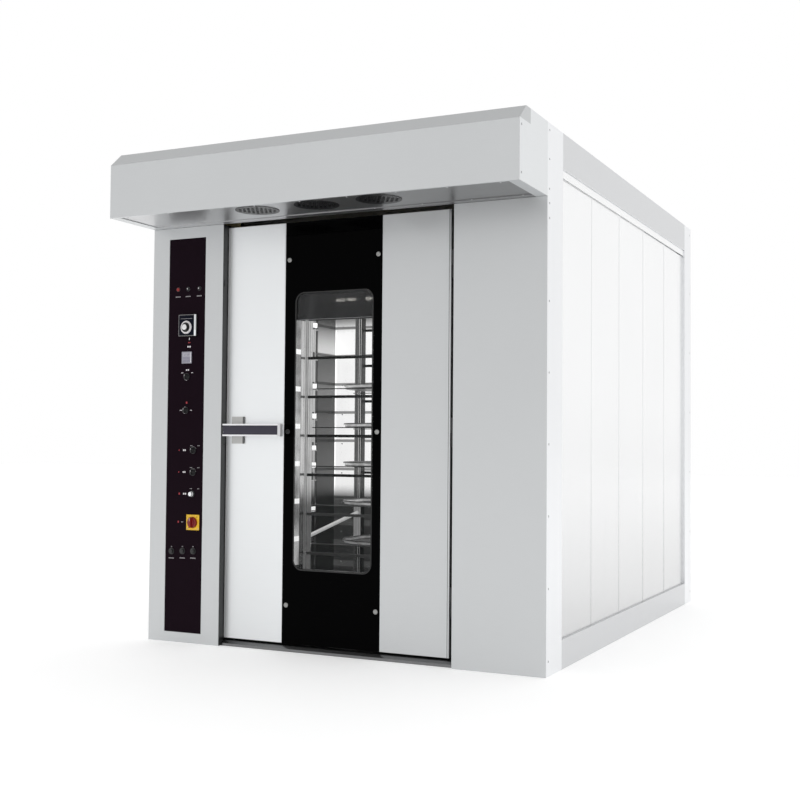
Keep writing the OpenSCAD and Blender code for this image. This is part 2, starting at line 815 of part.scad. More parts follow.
module dial_knob() color("whitesmoke") at_front() {
    y = fascia_y - controller_p - fit;
    round_y(dial_at[0], [y - 5, y], dial_at[1], dial_r);
    round_y(dial_at[0], [y - 16, y - 4], dial_at[1], dial_r / 2);
    round_y(dial_at[0], [y - 1, fascia_y + 12], dial_at[1], stem_r);
}

// Selector knob: a disc with a raised grip, and its stem
module selector(p) color([0.08, 0.08, 0.09]) at_front() {
    y = fascia_y - bezel_t - fit;
    round_y(p[0], [y - 7, y], p[1], selector_r);
    translate([p[0], 0, p[1]]) rotate([0, 45, 0])
        block([-4, 4], [y - 18, y - 6], [-selector_r + 1, selector_r - 1]);
    round_y(p[0], [y - 1, fascia_y1 + 18], p[1], stem_r);
}

module key_switch() color("silver") at_front() {
    y = fascia_y - bezel_t - fit;
    round_y(key_at[0], [y - 9, y], key_at[1], key_r);
    block([key_at[0] - 2, key_at[0] + 2], [y - 15, y - 8],
        [key_at[1] - key_r + 3, key_at[1] + key_r - 3]);
    round_y(key_at[0], [y - 1, fascia_y1 + 18], key_at[1], stem_r);
}

module isolator_plate() color("gold") at_front()
    difference() {
        block([isolator_at[0] - isolator_w / 2, isolator_at[0] + isolator_w / 2],
            [fascia_y - bezel_t, fascia_y],
            [isolator_z - isolator_w / 2, isolator_z + isolator_w / 2]);
        round_y(isolator_at[0], [fascia_y - bezel_t - 1, fascia_y + 1], isolator_z, stem_r + fit);
    }

module isolator_knob() color("crimson") at_front() {
    y = fascia_y - bezel_t - fit;
    round_y(isolator_at[0], [y - 8, y], isolator_z, isolator_r);
    block([isolator_at[0] - isolator_r + 2, isolator_at[0] + isolator_r - 2], [y - 26, y - 7],
        [isolator_z - 6, isolator_z + 6]);
    round_y(isolator_at[0], [y - 1, fascia_y1 + 18], isolator_z, stem_r);
}

module push_button(p) color([0.08, 0.08, 0.09]) at_front() {
    round_y(p[0], [fascia_y - bezel_t - button_travel - 2, fascia_y], p[1], button_r);
    round_y(p[0], [fascia_y - 1, fascia_y1 + 16], p[1], stem_r);
}

module selector_1() selector(selector_at[0]);
module selector_2() selector(selector_at[1]);
module selector_3() selector(selector_at[2]);
module selector_4() selector(selector_at[3]);

module push_button_1() push_button(button_at[0]);
module push_button_2() push_button(button_at[1]);
module push_button_3() push_button(button_at[2]);

// ---- Hood ----

// Hood's outline from the side, with its bevelled top front edge, moved in by t
module hood_outline(t) {
    bevel_l = sqrt(hood_bevel_d * hood_bevel_d + hood_bevel_h * hood_bevel_h);
    polygon([
        [-hood_p + t, hood_z - (t > 0 ? 1 : 0)],
        [-hood_p + t, body_h - hood_bevel_h - t * (bevel_l - hood_bevel_h) / hood_bevel_d],
        [-hood_p + hood_bevel_d + t * (bevel_l - hood_bevel_d) / hood_bevel_h, body_h - t],
        [t > 0 ? 1 : 0, body_h - t],
        [t > 0 ? 1 : 0, hood_z - (t > 0 ? 1 : 0)]
    ]);
}

// Extrudes an outline drawn in y and z along x
module along_x(x)
    translate([x[0], 0, 0]) rotate([90, 0, 90]) linear_extrude(height = x[1] - x[0]) children();

// Hood's sheets, which meet at the bends, and its end caps with their rims
module hood_shell() color("lightgray") at_front() {
    shell_x = half_w - sheet_t - seam;
    along_x([-shell_x, shell_x])
        difference() {
            hood_outline(0);
            hood_outline(sheet_t);
            translate([-hood_p - 1, body_h - hood_bevel_h - seam])
                square([2 * sheet_t + 1, seam]);
            translate([-hood_p + hood_bevel_d, body_h - 2 * sheet_t])
                square([seam, 2 * sheet_t + 1]);
        }
    block([-shell_x, shell_x], [-hood_p + sheet_t + seam, -hood_p + hood_lip],
        [hood_z, hood_z + sheet_t]);
    both_sides() {
        along_x([half_w - sheet_t, half_w]) hood_outline(0);
        block([half_w - sheet_t - hood_rim, shell_x], [-hood_p + hood_lip + seam, 0],
            [hood_z, hood_z + sheet_t]);
    }
}

module hood_underside() color("silver") at_front() {
    plate_x = half_w - sheet_t - 2 * seam;
    rim_x = half_w - sheet_t - hood_rim - seam;
    z = hood_z + sheet_t;
    difference() {
        block([-plate_x, plate_x], [-hood_p + sheet_t + seam, -seam], [z, z + sheet_t]);
        for (i = [-1 : 1])
            round_z(vent_x + i * vent_pitch, -vent_p, [z - 1, z + sheet_t + 1], vent_r - 6);
    }
    block([-rim_x, rim_x], [-hood_rim, -seam], [hood_z, z]);
}

module vent_grilles() color([0.1, 0.1, 0.11]) at_front()
    for (i = [-1 : 1])
        translate([vent_x + i * vent_pitch, -vent_p, hood_z + sheet_t]) vent_grille();

// Round perforated grille with a collar that fits the hole in the underside
module vent_grille() {
    n = floor((vent_r - 16) / vent_hole_pitch);
    difference() {
        translate([0, 0, -2]) cylinder(h = 2, r = vent_r);
        for (i = [-n : n], j = [-n : n])
            let (x = (i + j / 2) * vent_hole_pitch, y = j * vent_hole_pitch * sqrt(3) / 2)
                if (norm([x, y]) < vent_r - 14)
                    translate([x, y, -3]) cylinder(h = 4, r = vent_hole_r, $fn = 16);
    }
    difference() {
        cylinder(h = 12, r = vent_r - 6 - fit);
        translate([0, 0, -1]) cylinder(h = 14, r = vent_r - 9 - fit);
    }
}

// Round housing in the hood, the duct behind it and the exhaust spigot on the roof
module hood_fan_housing() color("silver") at_front() {
    x = hood_fan_at[0];
    z = hood_fan_at[1];
    difference() {
        union() {
            round_y(x, [-hood_fan_l, 0], z, hood_fan_r);
            block([x - hood_fan_r - 6, x + hood_fan_r + 6], [-sheet_t, 0],
                [z - hood_fan_r - 6, z + hood_fan_r + 6]);
        }
        round_y(x, [-hood_fan_l - 1, 1], z, hood_fan_r - sheet_t);
    }
    difference() {
        union() {
            for (a = [0, 120, 240])
                translate([x, 0, z]) rotate([0, a, 0])
                    block([-2, 2], [-hood_fan_l + 10, -hood_fan_l + 24], [0, hood_fan_r - 1]);
            round_y(x, [-hood_fan_l + 8, -hood_fan_l + 26], z, hood_motor_r + 4);
        }
        round_y(x, [-hood_fan_l - 1, 1], z, hood_motor_r + seam);
    }
    exhaust_duct(x);
}

// Sheet duct on the roof from the header's opening to the spigot
module exhaust_duct(x) {
    w = hood_fan_r + 14;
    z_low = deck_z + hood_fan_r + 20;
    z_top = body_h - 2 * sheet_t;
    y_low = 4 * spigot_r;
    difference() {
        union() {
            block([x - w, x + w], [sheet_t, 60], [deck_z, z_top]);
            block([x - w, x + w], [sheet_t, y_low], [deck_z, z_low]);
        }
        block([x - w + sheet_t, x + w - sheet_t], [0, 60 - sheet_t],
            [deck_z + sheet_t, z_top - sheet_t]);
        block([x - w + sheet_t, x + w - sheet_t], [0, y_low - sheet_t],
            [deck_z + sheet_t, z_low - sheet_t]);
        round_z(x, y_low / 2 + 30, [z_low - sheet_t - 1, z_low + 1], spigot_r - sheet_t);
    }
    difference() {
        round_z(x, y_low / 2 + 30, [z_low + seam, z_top], spigot_r);
        round_z(x, y_low / 2 + 30, [z_low - 1, body_h], spigot_r - sheet_t);
    }
}

module hood_fan_impeller() color("dimgray") at_front()
    translate([hood_fan_at[0], -hood_fan_l + 56, hood_fan_at[1]]) rotate([-90, 0, 0]) {
        cylinder(h = 26, r = 24);
        translate([0, 0, -20]) cylinder(h = 21, r = hood_shaft_r);
        for (i = [0 : hood_fan_n - 1])
            rotate([0, 0, i * 360 / hood_fan_n]) translate([22, 0, 13]) rotate([35, 0, 0])
                translate([0, -12, -1.5]) cube([hood_fan_r - sheet_t - 27, 24, 3]);
    }

module fan_motors() color("slategray") at_front() {
    difference() {
        union() {
            translate([fan_at[0], fan_at[1], deck_z]) fan_motor();
            round_y(hood_fan_at[0], [-hood_fan_l + 2, -hood_fan_l + 52], hood_fan_at[1],
                hood_motor_r);
        }
        round_z(fan_at[0], fan_at[1], [deck_z - 1, deck_z + 100], fan_shaft_r + fit);
        round_y(hood_fan_at[0], [-hood_fan_l + 30, 0], hood_fan_at[1], hood_shaft_r + fit);
    }
}

// Flanged motor that stands on the roof with its shaft down
module fan_motor() {
    translate([-fan_motor_r - 20, -fan_motor_r - 20, 0])
        cube([2 * fan_motor_r + 40, 2 * fan_motor_r + 40, 8]);
    cylinder(h = well_d - 22, r = fan_motor_r);
    translate([0, 0, well_d - 30]) cylinder(h = 24, r = fan_motor_r - 6);
    translate([fan_motor_r - 10, -30, 30]) cube([45, 60, 70]);
}

// ---- Rack drive ----

module gearmotor() color("steelblue") at_rack()
    difference() {
        union() {
            block([-gearbox_w / 2, gearbox_w / 2], [-gearbox_w / 2, gearbox_w / 2],
                [deck_z, deck_z + gearbox_h]);
            block([-gearbox_w / 2 - 25, gearbox_w / 2 + 25], [-gearbox_w / 2, gearbox_w / 2],
                [deck_z, deck_z + 10]);
            round_y(0, [gearbox_w / 2 - 1, gearbox_w / 2 + 14], motor_z, motor_r + 8);
            round_y(0, [gearbox_w / 2, gearbox_w / 2 + motor_l], motor_z, motor_r);
            block([motor_r - 8, motor_r + 34], [gearbox_w / 2 + 60, gearbox_w / 2 + 130],
                [motor_z - 30, motor_z + 30]);
        }
        round_z(0, 0, [deck_z - 1, deck_z + gearbox_h - 20], shaft_r + fit);
    }

// Shaft and hanger: a crossbar whose two hooks reach under the rack's cross tubes
module drive_shaft() color("gray") at_rack() {
    bar_z0 = rack_top + 12;
    round_z(0, 0, [bar_z0 + 1, deck_z + gearbox_h - 24], shaft_r);
    round_z(0, 0, [bar_z0 + 27, bar_z0 + 60], shaft_r + 14);
    block([-hanger_l / 2, hanger_l / 2], [-hanger_w / 2, hanger_w / 2], [bar_z0, bar_z0 + 28]);
    both_sides() {
        block([hanger_l / 2 - 8, hanger_l / 2], [-hanger_w / 2, hanger_w / 2],
            [rack_top - tube_w - 10, bar_z0 + 1]);
        block([cross_x - tube_w / 2, hanger_l / 2], [-hanger_w / 2, hanger_w / 2],
            [rack_top - tube_w - 10, rack_top - tube_w]);
    }
}

// ---- Rack, trays and castors ----

module rack_frame() color("silver") at_rack() {
    rack_posts();
    for (z = [rack_bottom, rack_top - tube_w])
        frame_ring(z);
    for (x = [-cross_x, cross_x])
        block([x - tube_w / 2, x + tube_w / 2], [-post_y, post_y], [rack_top - tube_w, rack_top]);
    for (s = [-1, 1], i = [0 : bar_n - 1])
        translate([0, s * (rack_d + bar_t) / 2, bar_z + i * bar_pitch])
            cube([rack_w, bar_t, bar_h], center = true);
    for (s = [-1, 1], z = tray_zs)
        translate([0, s * (rack_d - 2 * post_w - slide_w) / 2, z - slide_t / 2])
            cube([rack_w, slide_w, slide_t], center = true);
    translate([-post_x, -post_y, brace_z[0]])
        rotate([atan2(brace_z[1] - brace_z[0], 2 * post_y), 0, 0])
            round_y(0, [0, norm([brace_z[1] - brace_z[0], 2 * post_y])], 0, brace_r);
    for (s = [-1, 1]) {
        castor_plate(castor_x, s * castor_y, axle_r + 3 + fit);
        castor_plate(-castor_x, s * castor_y, 0);
        translate([-castor_x, s * castor_y, 0]) castor_fork(-1);
    }
}

// Four square tubes, open at both ends
module rack_posts()
    for (sx = [-1, 1], sy = [-1, 1])
        translate([sx * post_x, sy * post_y, (rack_bottom + rack_top) / 2])
            difference() {
                cube([post_w, post_w, rack_top - rack_bottom], center = true);
                cube([post_w - 2 * tube_wall, post_w - 2 * tube_wall, rack_top], center = true);
            }

// Rectangle of tubes that joins the four posts
module frame_ring(z) {
    x = rack_w / 2 - post_w + tube_wall;
    y = rack_d / 2 - post_w + tube_wall;
    for (s = [-1, 1]) {
        block([-x, x], [-tube_w / 2, tube_w / 2] + [1, 1] * s * post_y, [z, z + tube_w]);
        block([-tube_w / 2, tube_w / 2] + [1, 1] * s * post_x, [-y, y], [z, z + tube_w]);
    }
}

// Castor's mounting plate under the frame, bored for a kingpin where it swivels
module castor_plate(x, y, bore_r)
    difference() {
        block([x - 30, x + 30], [y - 30, y + 30], [rack_bottom - plate_t, rack_bottom]);
        if (bore_r > 0)
            round_z(x, y, [0, rack_bottom + 1], bore_r);
    }

// Castor's fork and axle about its own swivel axis; a fixed one reaches up to its plate
module castor_fork(dir) {
    cheek_y = wheel_w / 2 + 1;
    swivels = dir > 0;
    cylinder_z = [fork_top - 4, swivels ? fork_top : rack_bottom - plate_t];
    round_z(0, 0, cylinder_z, 26);
    if (swivels)
        round_z(0, 0, [fork_top - 1, rack_bottom - 1], axle_r + 3);
    for (s = [-1, 1])
        block([min(0, dir * castor_trail) - 14, max(0, dir * castor_trail) + 14],
            s > 0 ? [cheek_y, cheek_y + 4] : [-cheek_y - 4, -cheek_y],
            [wheel_z - 14, fork_top - 3]);
    round_y(dir * castor_trail, [-cheek_y - 8, cheek_y + 8], wheel_z, axle_r);
}

// Castor's wheel about its own swivel axis
module castor_wheel(dir) color("dimgray")
    translate([dir * castor_trail, 0, wheel_z]) rotate([90, 0, 0])
        difference() {
            cylinder(h = wheel_w, r = wheel_r, center = true);
            cylinder(h = wheel_w + 2, r = axle_r + fit, center = true);
        }

// Swivelling castors at the rack's right end, fixed ones at its left end
module castor_fork_1() color("silver") at_rack() translate([castor_x, -castor_y, 0]) castor_fork(1);
module castor_fork_2() color("silver") at_rack() translate([castor_x, castor_y, 0]) castor_fork(1);
module castor_wheel_1() at_rack() translate([castor_x, -castor_y, 0]) castor_wheel(1);
module castor_wheel_2() at_rack() translate([castor_x, castor_y, 0]) castor_wheel(1);
module castor_wheel_3() at_rack() translate([-castor_x, -castor_y, 0]) castor_wheel(-1);
module castor_wheel_4() at_rack() translate([-castor_x, castor_y, 0]) castor_wheel(-1);

module baking_trays() color("gainsboro") at_rack()
    for (z = tray_zs)
        translate([tray_x, 0, z])
            difference() {
                linear_extrude(height = tray_rim) tray_outline(0);
                translate([0, 0, 2]) linear_extrude(height = tray_rim) tray_outline(3);
            }

// Tray from above, moved in by t, with two large corners at its left end
module tray_outline(t) {
    w = tray_w / 2 - t;
    r = tray_r - t;
    r_end = 40 - t;
    translate([t + r, -w]) square([tray_l - 2 * t - r - r_end, 2 * w]);
    translate([t, -w + r]) square([r + 1, 2 * w - 2 * r]);
    translate([tray_l - t - r_end - 1, -w + r_end]) square([r_end + 1, 2 * w - 2 * r_end]);
    for (s = [-1, 1]) {
        translate([t + r, s * (w - r)]) circle(r = r);
        translate([tray_l - t - r_end, s * (w - r_end)]) circle(r = r_end);
    }
}

// ---- Heating ----

module heat_exchanger() color("rosybrown") at_front()
    difference() {
        exchanger_solid(0);
        exchanger_solid(drum_wall);
        round_y(rack_x, [drum_y1 - drum_wall - 1, drum_y1 + 1], drum_z, blast_r + fit);
        round_z(flue_at[0], flue_at[1], [header_z, header_z + header_h + 1], flue_r - sheet_t);
    }

// Drum, manifold, tubes and flue header, moved in by t; the outside has its feet
module exchanger_solid(t) {
    y = [exchanger_y + 40 + t, drum_y1 - 40 - t];
    pitch = (drum_l - 80 - 2 * exchanger_tube_r - 40) / (exchanger_tube_n - 1);
    round_y(rack_x, [exchanger_y + t, drum_y1 - t], drum_z, drum_r - t);
    block([rack_x - manifold_x + t, rack_x + manifold_x - t], y, [drum_z, manifold_z - t]);
    block([header_x[0] + t, header_x[1] - t], y, [header_z + t, header_z + header_h - t]);
    for (s = [-1, 1], i = [0 : exchanger_tube_n - 1])
        round_z(rack_x + s * 65, exchanger_y + 60 + exchanger_tube_r + i * pitch,
            [manifold_z - t - 1, header_z + t + 1], exchanger_tube_r - t);
    if (t == 0)
        for (foot_y = [exchanger_y + 60, drum_y1 - 100])
            block([rack_x - 140, rack_x + 140], [foot_y, foot_y + 40],
                [floor_z, drum_z - drum_r * 0.75]);
}

module burner() color("tomato") at_front()
    difference() {
        union() {
            round_y(rack_x, [drum_y1 - 20, envelope_y + 12], drum_z, blast_r);
            round_y(rack_x, [drum_y1, drum_y1 + 6], drum_z, blast_r + 22);
            block([rack_x - burner_w / 2, rack_x + burner_w / 2],
                [envelope_y + 10, envelope_y + burner_l - 20],
                [drum_z - burner_h / 2, drum_z + burner_h / 2]);
            round_x([rack_x + burner_w / 2 - 1, rack_x + burner_w / 2 + 90],
                envelope_y + burner_l / 2, drum_z, burner_h / 2 - 20);
        }
        round_y(rack_x, [0, envelope_y], drum_z, blast_r - sheet_t);
    }

module steam_generator() color("dimgray") at_front() {
    y = [steam_y, steam_y + trough_l];
    for (y_end = [y[0] - 6, y[1]])
        block([steam_x - trough_w / 2 - 12, steam_x + trough_w / 2 + 12], [y_end, y_end + 6],
            [floor_z, floor_z + 100 + trough_n * trough_pitch]);
    for (i = [0 : trough_n - 1])
        translate([steam_x, 0, floor_z + 80 + i * trough_pitch]) steam_trough(y);
}

// Trough with three square bars that store the heat
module steam_trough(y) {
    difference() {
        block([-trough_w / 2, trough_w / 2], y, [0, trough_h]);
        block([-trough_w / 2 + sheet_t, trough_w / 2 - sheet_t], [y[0] + sheet_t, y[1] - sheet_t],
            [sheet_t, trough_h + 1]);
    }
    for (i = [-1 : 1])
        block([-11, 11] + [1, 1] * i * (trough_w - 12) / 3.2, y, [sheet_t - 1, sheet_t + 22]);
}

module flue_pipe() color("silver") at_front()
    difference() {
        union() {
            round_z(flue_at[0], flue_at[1], [header_z + header_h, body_h - 2 * sheet_t], flue_r);
            round_z(flue_at[0], flue_at[1], [header_z + header_h, header_z + header_h + 5],
                flue_r + 20);
            round_z(flue_at[0], flue_at[1], [deck_z, deck_z + 4], flue_r + 20);
            round_z(flue_at[0], flue_at[1], [damper_z + 14, damper_z + 20], flue_r + 5);
        }
        round_z(flue_at[0], flue_at[1], [header_z, body_h], flue_r - sheet_t);
        round_x([flue_at[0] - flue_r - 1, flue_at[0] + flue_r + 1], flue_at[1], damper_z,
            pin_r + fit);
    }

module flue_damper() color("dimgray") at_front()
    translate([flue_at[0], flue_at[1], damper_z]) {
        round_x([-flue_r - 6, flue_r + 30], 0, 0, pin_r);
        round_y(0, [-1.5, 1.5], 0, flue_r - sheet_t - 4);
        block([flue_r + 20, flue_r + 28], [-pin_r, pin_r], [0, 55]);
    }

module circulation_impeller() color("gray") at_front()
    translate([fan_at[0], fan_at[1], impeller_z]) {
        round_z(0, 0, [impeller_h - 1, deck_z + 96 - impeller_z], fan_shaft_r);
        translate([0, 0, impeller_h - 5]) cylinder(h = 5, r = impeller_r);
        translate([0, 0, impeller_h - 50]) cylinder(h = 50, r = fan_shaft_r + 22);
        difference() {
            cylinder(h = 5, r = impeller_r);
            translate([0, 0, -1]) cylinder(h = 7, r = impeller_r - 50);
        }
        for (i = [0 : impeller_n - 1])
            rotate([0, 0, i * 360 / impeller_n])
                translate([impeller_r - 26, 0, 4]) rotate([0, 0, 35])
                    translate([-24, -2, 0]) cube([46, 4, impeller_h - 8]);
    }

module service_connections() color("darkgoldenrod") at_front() {
    x = feed_at[0];
    y = feed_at[1];
    difference() {
        union() {
            round_z(x, y, [floor_z + 80 + trough_n * trough_pitch, deck_z + 20], feed_r);
            round_z(x, y, [deck_z, deck_z + 36], 18);
        }
        round_z(x, y, [deck_z + 12, deck_z + 37], 10.5);
    }
    difference() {
        union() {
            round_z(-x, rear_y - 150, [deck_z, deck_z + 10], 30);
            round_z(-x, rear_y - 150, [deck_z, deck_z + 40], 20);
        }
        round_z(-x, rear_y - 150, [deck_z - 1, deck_z + 41], 12.5);
    }
}

module interior_lamp() color("ivory") at_front()
    block([rack_x - lamp_l / 2, rack_x + lamp_l / 2], [chamber_y - 20, chamber_y],
        [lamp_z - 7, lamp_z + 7]);

// ---- Door ----

// Window's outline through the door with round corners, shrunk by t, between two limits along y
module window_shape(y, t) {
    x = [window_x0 + t, window_x1 - t];
    z = [window_z + t, window_z1 - t];
    block([x[0] + window_r, x[1] - window_r], y, z);
    block(x, y, [z[0] + window_r, z[1] - window_r]);
    for (cx = [x[0] + window_r, x[1] - window_r], cz = [z[0] + window_r, z[1] - window_r])
        round_y(cx, y, cz, window_r);
}

module door_core() color("lightgray") at_front()
    difference() {
        union() {
            difference() {
                block([core_x, door_x1], [core_y, door_y1], [door_z, door_z1]);
                block([core_x + sheet_t, door_x1 - sheet_t], [core_y - 1, door_y1 - sheet_t],
                    [door_z + sheet_t, door_z1 - sheet_t]);
            }
            block([window_x0 - sheet_t, window_x1 + sheet_t], [core_y + 5, door_y1],
                [window_z - sheet_t, window_z1 + sheet_t]);
            for (x = [glass_x0 - 6, glass_x1 + 6 - stiffener_w])
                block([x, x + stiffener_w], [core_y, core_y + 22], [door_z + 1, door_z1 - 1]);
        }
        block([window_x0, window_x1], [core_y - 1, door_y1 + 1], [window_z, window_z1]);
        block([core_x - 1, core_x + sheet_t + 1], pawl_slot,
            [handle_z - pawl_l, handle_z + spindle_r + 8]);
    }

module door_skins() color("whitesmoke") at_front()
    difference() {
        union() {
            door_skin([door_x0, glass_x0 - seam], core_inset + 2 * sheet_t);
            door_skin([glass_x1 + seam, door_x1], 2 * sheet_t);
        }
        round_y(pivot_x, [door_recess - 1, core_y + 1], handle_z, sleeve_r + seam);
    }

// Sheet with a raised border behind it, which is wider along the sides
module door_skin(x, border)
    difference() {
        block(x, [door_recess, core_y], [door_z, door_z1]);
        block([x[0] + border, x[1] - 2 * sheet_t], [door_recess + sheet_t, core_y + 1],
            [door_z + 2 * sheet_t, door_z1 - 2 * sheet_t]);
    }

module door_glass() color([0.04, 0.04, 0.05]) at_front()
    difference() {
        block([glass_x0, glass_x1], [door_recess, core_y], [door_z, door_z1]);
        window_shape([door_recess - 1, core_y + 1], 0);
        for (x = screw_xs, z = screw_zs)
            round_y(x, [door_recess - 1, core_y + 1], z, 4 + fit);
    }

module window_panes() color([0.75, 0.85, 0.88, 0.4]) at_front() {
    window_shape([door_recess + 0.6, core_y - 0.6], seam);
    block([window_x0 + seam, window_x1 - seam], [door_y1 - 9, door_y1 - 4],
        [window_z + seam, window_z1 - seam]);
}

module glass_screws() color("silver") at_front()
    for (x = screw_xs, z = screw_zs) {
        round_y(x, [door_recess - 5, door_recess], z, screw_r);
        round_y(x, [door_recess - 1, core_y], z, 4);
    }

module door_gasket() color([0.2, 0.2, 0.2]) at_front() {
    y = [door_y1, door_y1 + gasket_t];
    x0 = core_x + 6;
    x1 = door_x1 - 6;
    z1 = door_z1 - 6;
    block([x0, x0 + gasket_w], y, [door_z + 6, z1]);
    block([x1 - gasket_w, x1], y, [door_z + 6, z1]);
    block([x0 + gasket_w + seam, x1 - gasket_w - seam], y, [z1 - gasket_w, z1]);
    block([core_x + 4, door_x1 - 4], [door_recess + 30, door_recess + 37],
        [floor_z + 1, door_z]);
}

module door_insulation() color("khaki") at_front() {
    y = [core_y + seam, door_y1 - sheet_t - seam];
    x_left = [core_x + sheet_t + seam, glass_x0 - 6 - seam];
    x_right = [glass_x1 + 6 + seam, door_x1 - sheet_t - seam];
    x_mid = [glass_x0 - 6 + stiffener_w + seam, glass_x1 + 6 - stiffener_w - seam];
    z = [door_z + sheet_t + seam, door_z1 - sheet_t - seam];
    block(x_left, y, [z[0], handle_z - pawl_l - 10]);
    block(x_left, y, [handle_z + pawl_l / 2, z[1]]);
    block(x_right, y, z);
    block(x_mid, y, [z[0], window_z - sheet_t - seam]);
    block(x_mid, y, [window_z1 + sheet_t + seam, z[1]]);
}

// ---- Hinges and latch ----

module hinge_leaves() color("silver") at_front()
    for (z = hinge_zs)
        difference() {
            union() {
                round_z(hinge_x, door_recess, [z, z + knuckle_l], knuckle_r);
                block([door_x1, hinge_x], [door_recess, door_recess + 4], [z, z + knuckle_l]);
                block([door_x1, door_x1 + 4], [door_recess, door_recess + 60],
                    [z, z + knuckle_l]);
            }
            round_z(hinge_x, door_recess, [z - 1, z + knuckle_l + 1], pin_r + seam);
        }

// Fixed hinge knuckles with their pins, the latch keeper and a small stop wedge
module door_fittings() color("silver") at_front() {
    for (z = hinge_zs)
        hinge_bracket(z);
    latch_keeper();
    block([column_x, column_x + door_gap - 0.5], [10, door_recess - 8], [1618, 1648]);
}

module hinge_bracket(z) {
    x1 = cover_x - fit;
    z_low = [z - knuckle_l, z - seam];
    round_z(hinge_x, door_recess, z_low, knuckle_r);
    round_z(hinge_x, door_recess, [z - 1, z + knuckle_l - 1], pin_r);
    block([hinge_x, x1], [door_recess - 4, door_recess + 4], z_low);
    block([x1 - 4, x1], [door_recess, surround_y], z_low);
}

// Plates behind the column's return, round a pocket that the pawl turns into
module latch_keeper() {
    x = [keeper_x, column_x - sheet_t];
    z = [slot_z[0] - 10, slot_z[1] + 10];
    block([keeper_x - 6, keeper_x - seam], [pawl_slot[0] - 6, pawl_slot[1] + 6], z);
    block(x, [pawl_slot[0] - 6, pawl_slot[0]], z);
    block(x, [pawl_slot[1], pawl_slot[1] + 6], z);
    block(x, [pawl_slot[0] + seam, pawl_slot[1] - seam], [z[0], slot_z[0]]);
    block(x, [pawl_slot[0] + seam, pawl_slot[1] - seam], [slot_z[1], z[1]]);
}

module handle_rosette() color("silver") at_front()
    difference() {
        union() {
            block([pivot_x - rosette_w / 2, pivot_x + rosette_w / 2],
                [door_recess - rosette_t, door_recess],
                [handle_z - rosette_h / 2, handle_z + rosette_h / 2]);
            round_y(pivot_x, [door_recess - 1, door_recess + 40], handle_z, sleeve_r);
        }
        for (s = [-1, 1])
            round_y(pivot_x + s * (rosette_w / 2 + 38), [door_recess - rosette_t - 1, door_recess],
                handle_z, 48);
        round_y(pivot_x, [0, door_recess + 41], handle_z, spindle_r + fit);
    }

// Handle bar with its boss, the spindle through the door and the latch pawl at its end
module handle_bar() color("gainsboro") at_front() {
    x = [pivot_x - handle_tail, pivot_x - handle_tail + handle_l];
    rim = 7;
    difference() {
        block(x, [handle_y0, handle_y1], [handle_z - handle_h / 2, handle_z + handle_h / 2]);
        block([x[0] - 1, x[1] - 14], [handle_y0 - 1, handle_y0 + 4],
            [handle_z - handle_h / 2 + rim, handle_z + handle_h / 2 - rim]);
    }
    round_y(pivot_x, [handle_y1 - 1, door_recess - rosette_t - fit], handle_z, sleeve_r);
    round_y(pivot_x, [handle_y1, pawl_y + pawl_t], handle_z, spindle_r);
    block([pivot_x - spindle_r, pivot_x + spindle_r], [pawl_y, pawl_y + pawl_t],
        [handle_z - pawl_l, handle_z]);
}

body_frame();
side_panels();
rear_service_panels();
insulation();
chamber_liner();
air_duct_panels();
door_surround();
right_cover();
control_column();
control_fascia();
switch_bodies();
indicator_lamps();
temperature_controller();
timer_display();
isolator_plate();
hood_shell();
hood_underside();
vent_grilles();
hood_fan_housing();
fan_motors();
gearmotor();
door_fittings();
interior_lamp();
heat_exchanger();
burner();
steam_generator();
flue_pipe();
service_connections();
door_core();
door_skins();
door_glass();
window_panes();
door_gasket();
door_insulation();
hinge_leaves();
handle_rosette();
glass_screws();
handle_bar();
dial_knob();
selector_1();
selector_2();
selector_3();
selector_4();
key_switch();
isolator_knob();
push_button_1();
push_button_2();
push_button_3();
circulation_impeller();
hood_fan_impeller();
flue_damper();
drive_shaft();
rack_frame();
baking_trays();
castor_fork_1();
castor_fork_2();
castor_wheel_1();
castor_wheel_2();
castor_wheel_3();
castor_wheel_4();
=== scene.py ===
"""Dresses a rotating rack oven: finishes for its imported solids, its fine parts and a studio round it."""
import math
import bmesh
import bpy
from mathutils import Matrix, Vector


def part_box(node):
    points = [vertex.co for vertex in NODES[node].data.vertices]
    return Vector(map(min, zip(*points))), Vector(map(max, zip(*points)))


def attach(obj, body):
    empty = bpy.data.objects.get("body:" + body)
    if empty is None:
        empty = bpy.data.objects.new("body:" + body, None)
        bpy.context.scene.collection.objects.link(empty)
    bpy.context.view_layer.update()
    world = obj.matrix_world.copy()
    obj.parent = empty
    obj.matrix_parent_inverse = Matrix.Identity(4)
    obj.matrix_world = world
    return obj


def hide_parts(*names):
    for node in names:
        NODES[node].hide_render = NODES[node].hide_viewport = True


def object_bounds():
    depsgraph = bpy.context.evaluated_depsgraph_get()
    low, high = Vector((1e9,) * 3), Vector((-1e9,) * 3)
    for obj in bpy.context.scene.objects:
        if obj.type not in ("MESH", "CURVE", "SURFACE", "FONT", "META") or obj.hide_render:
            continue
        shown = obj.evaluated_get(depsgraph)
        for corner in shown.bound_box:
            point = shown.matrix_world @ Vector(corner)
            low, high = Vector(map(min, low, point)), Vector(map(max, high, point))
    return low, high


bl_info = {
    "name": "Rotating rack oven",
    "version": (1, 0, 0),
    "blender": (4, 5, 0),
    "location": "View3D > Sidebar > Oven",
    "description": "Finishes, fine parts and studio of a rotating rack oven",
    "category": "Object",
}

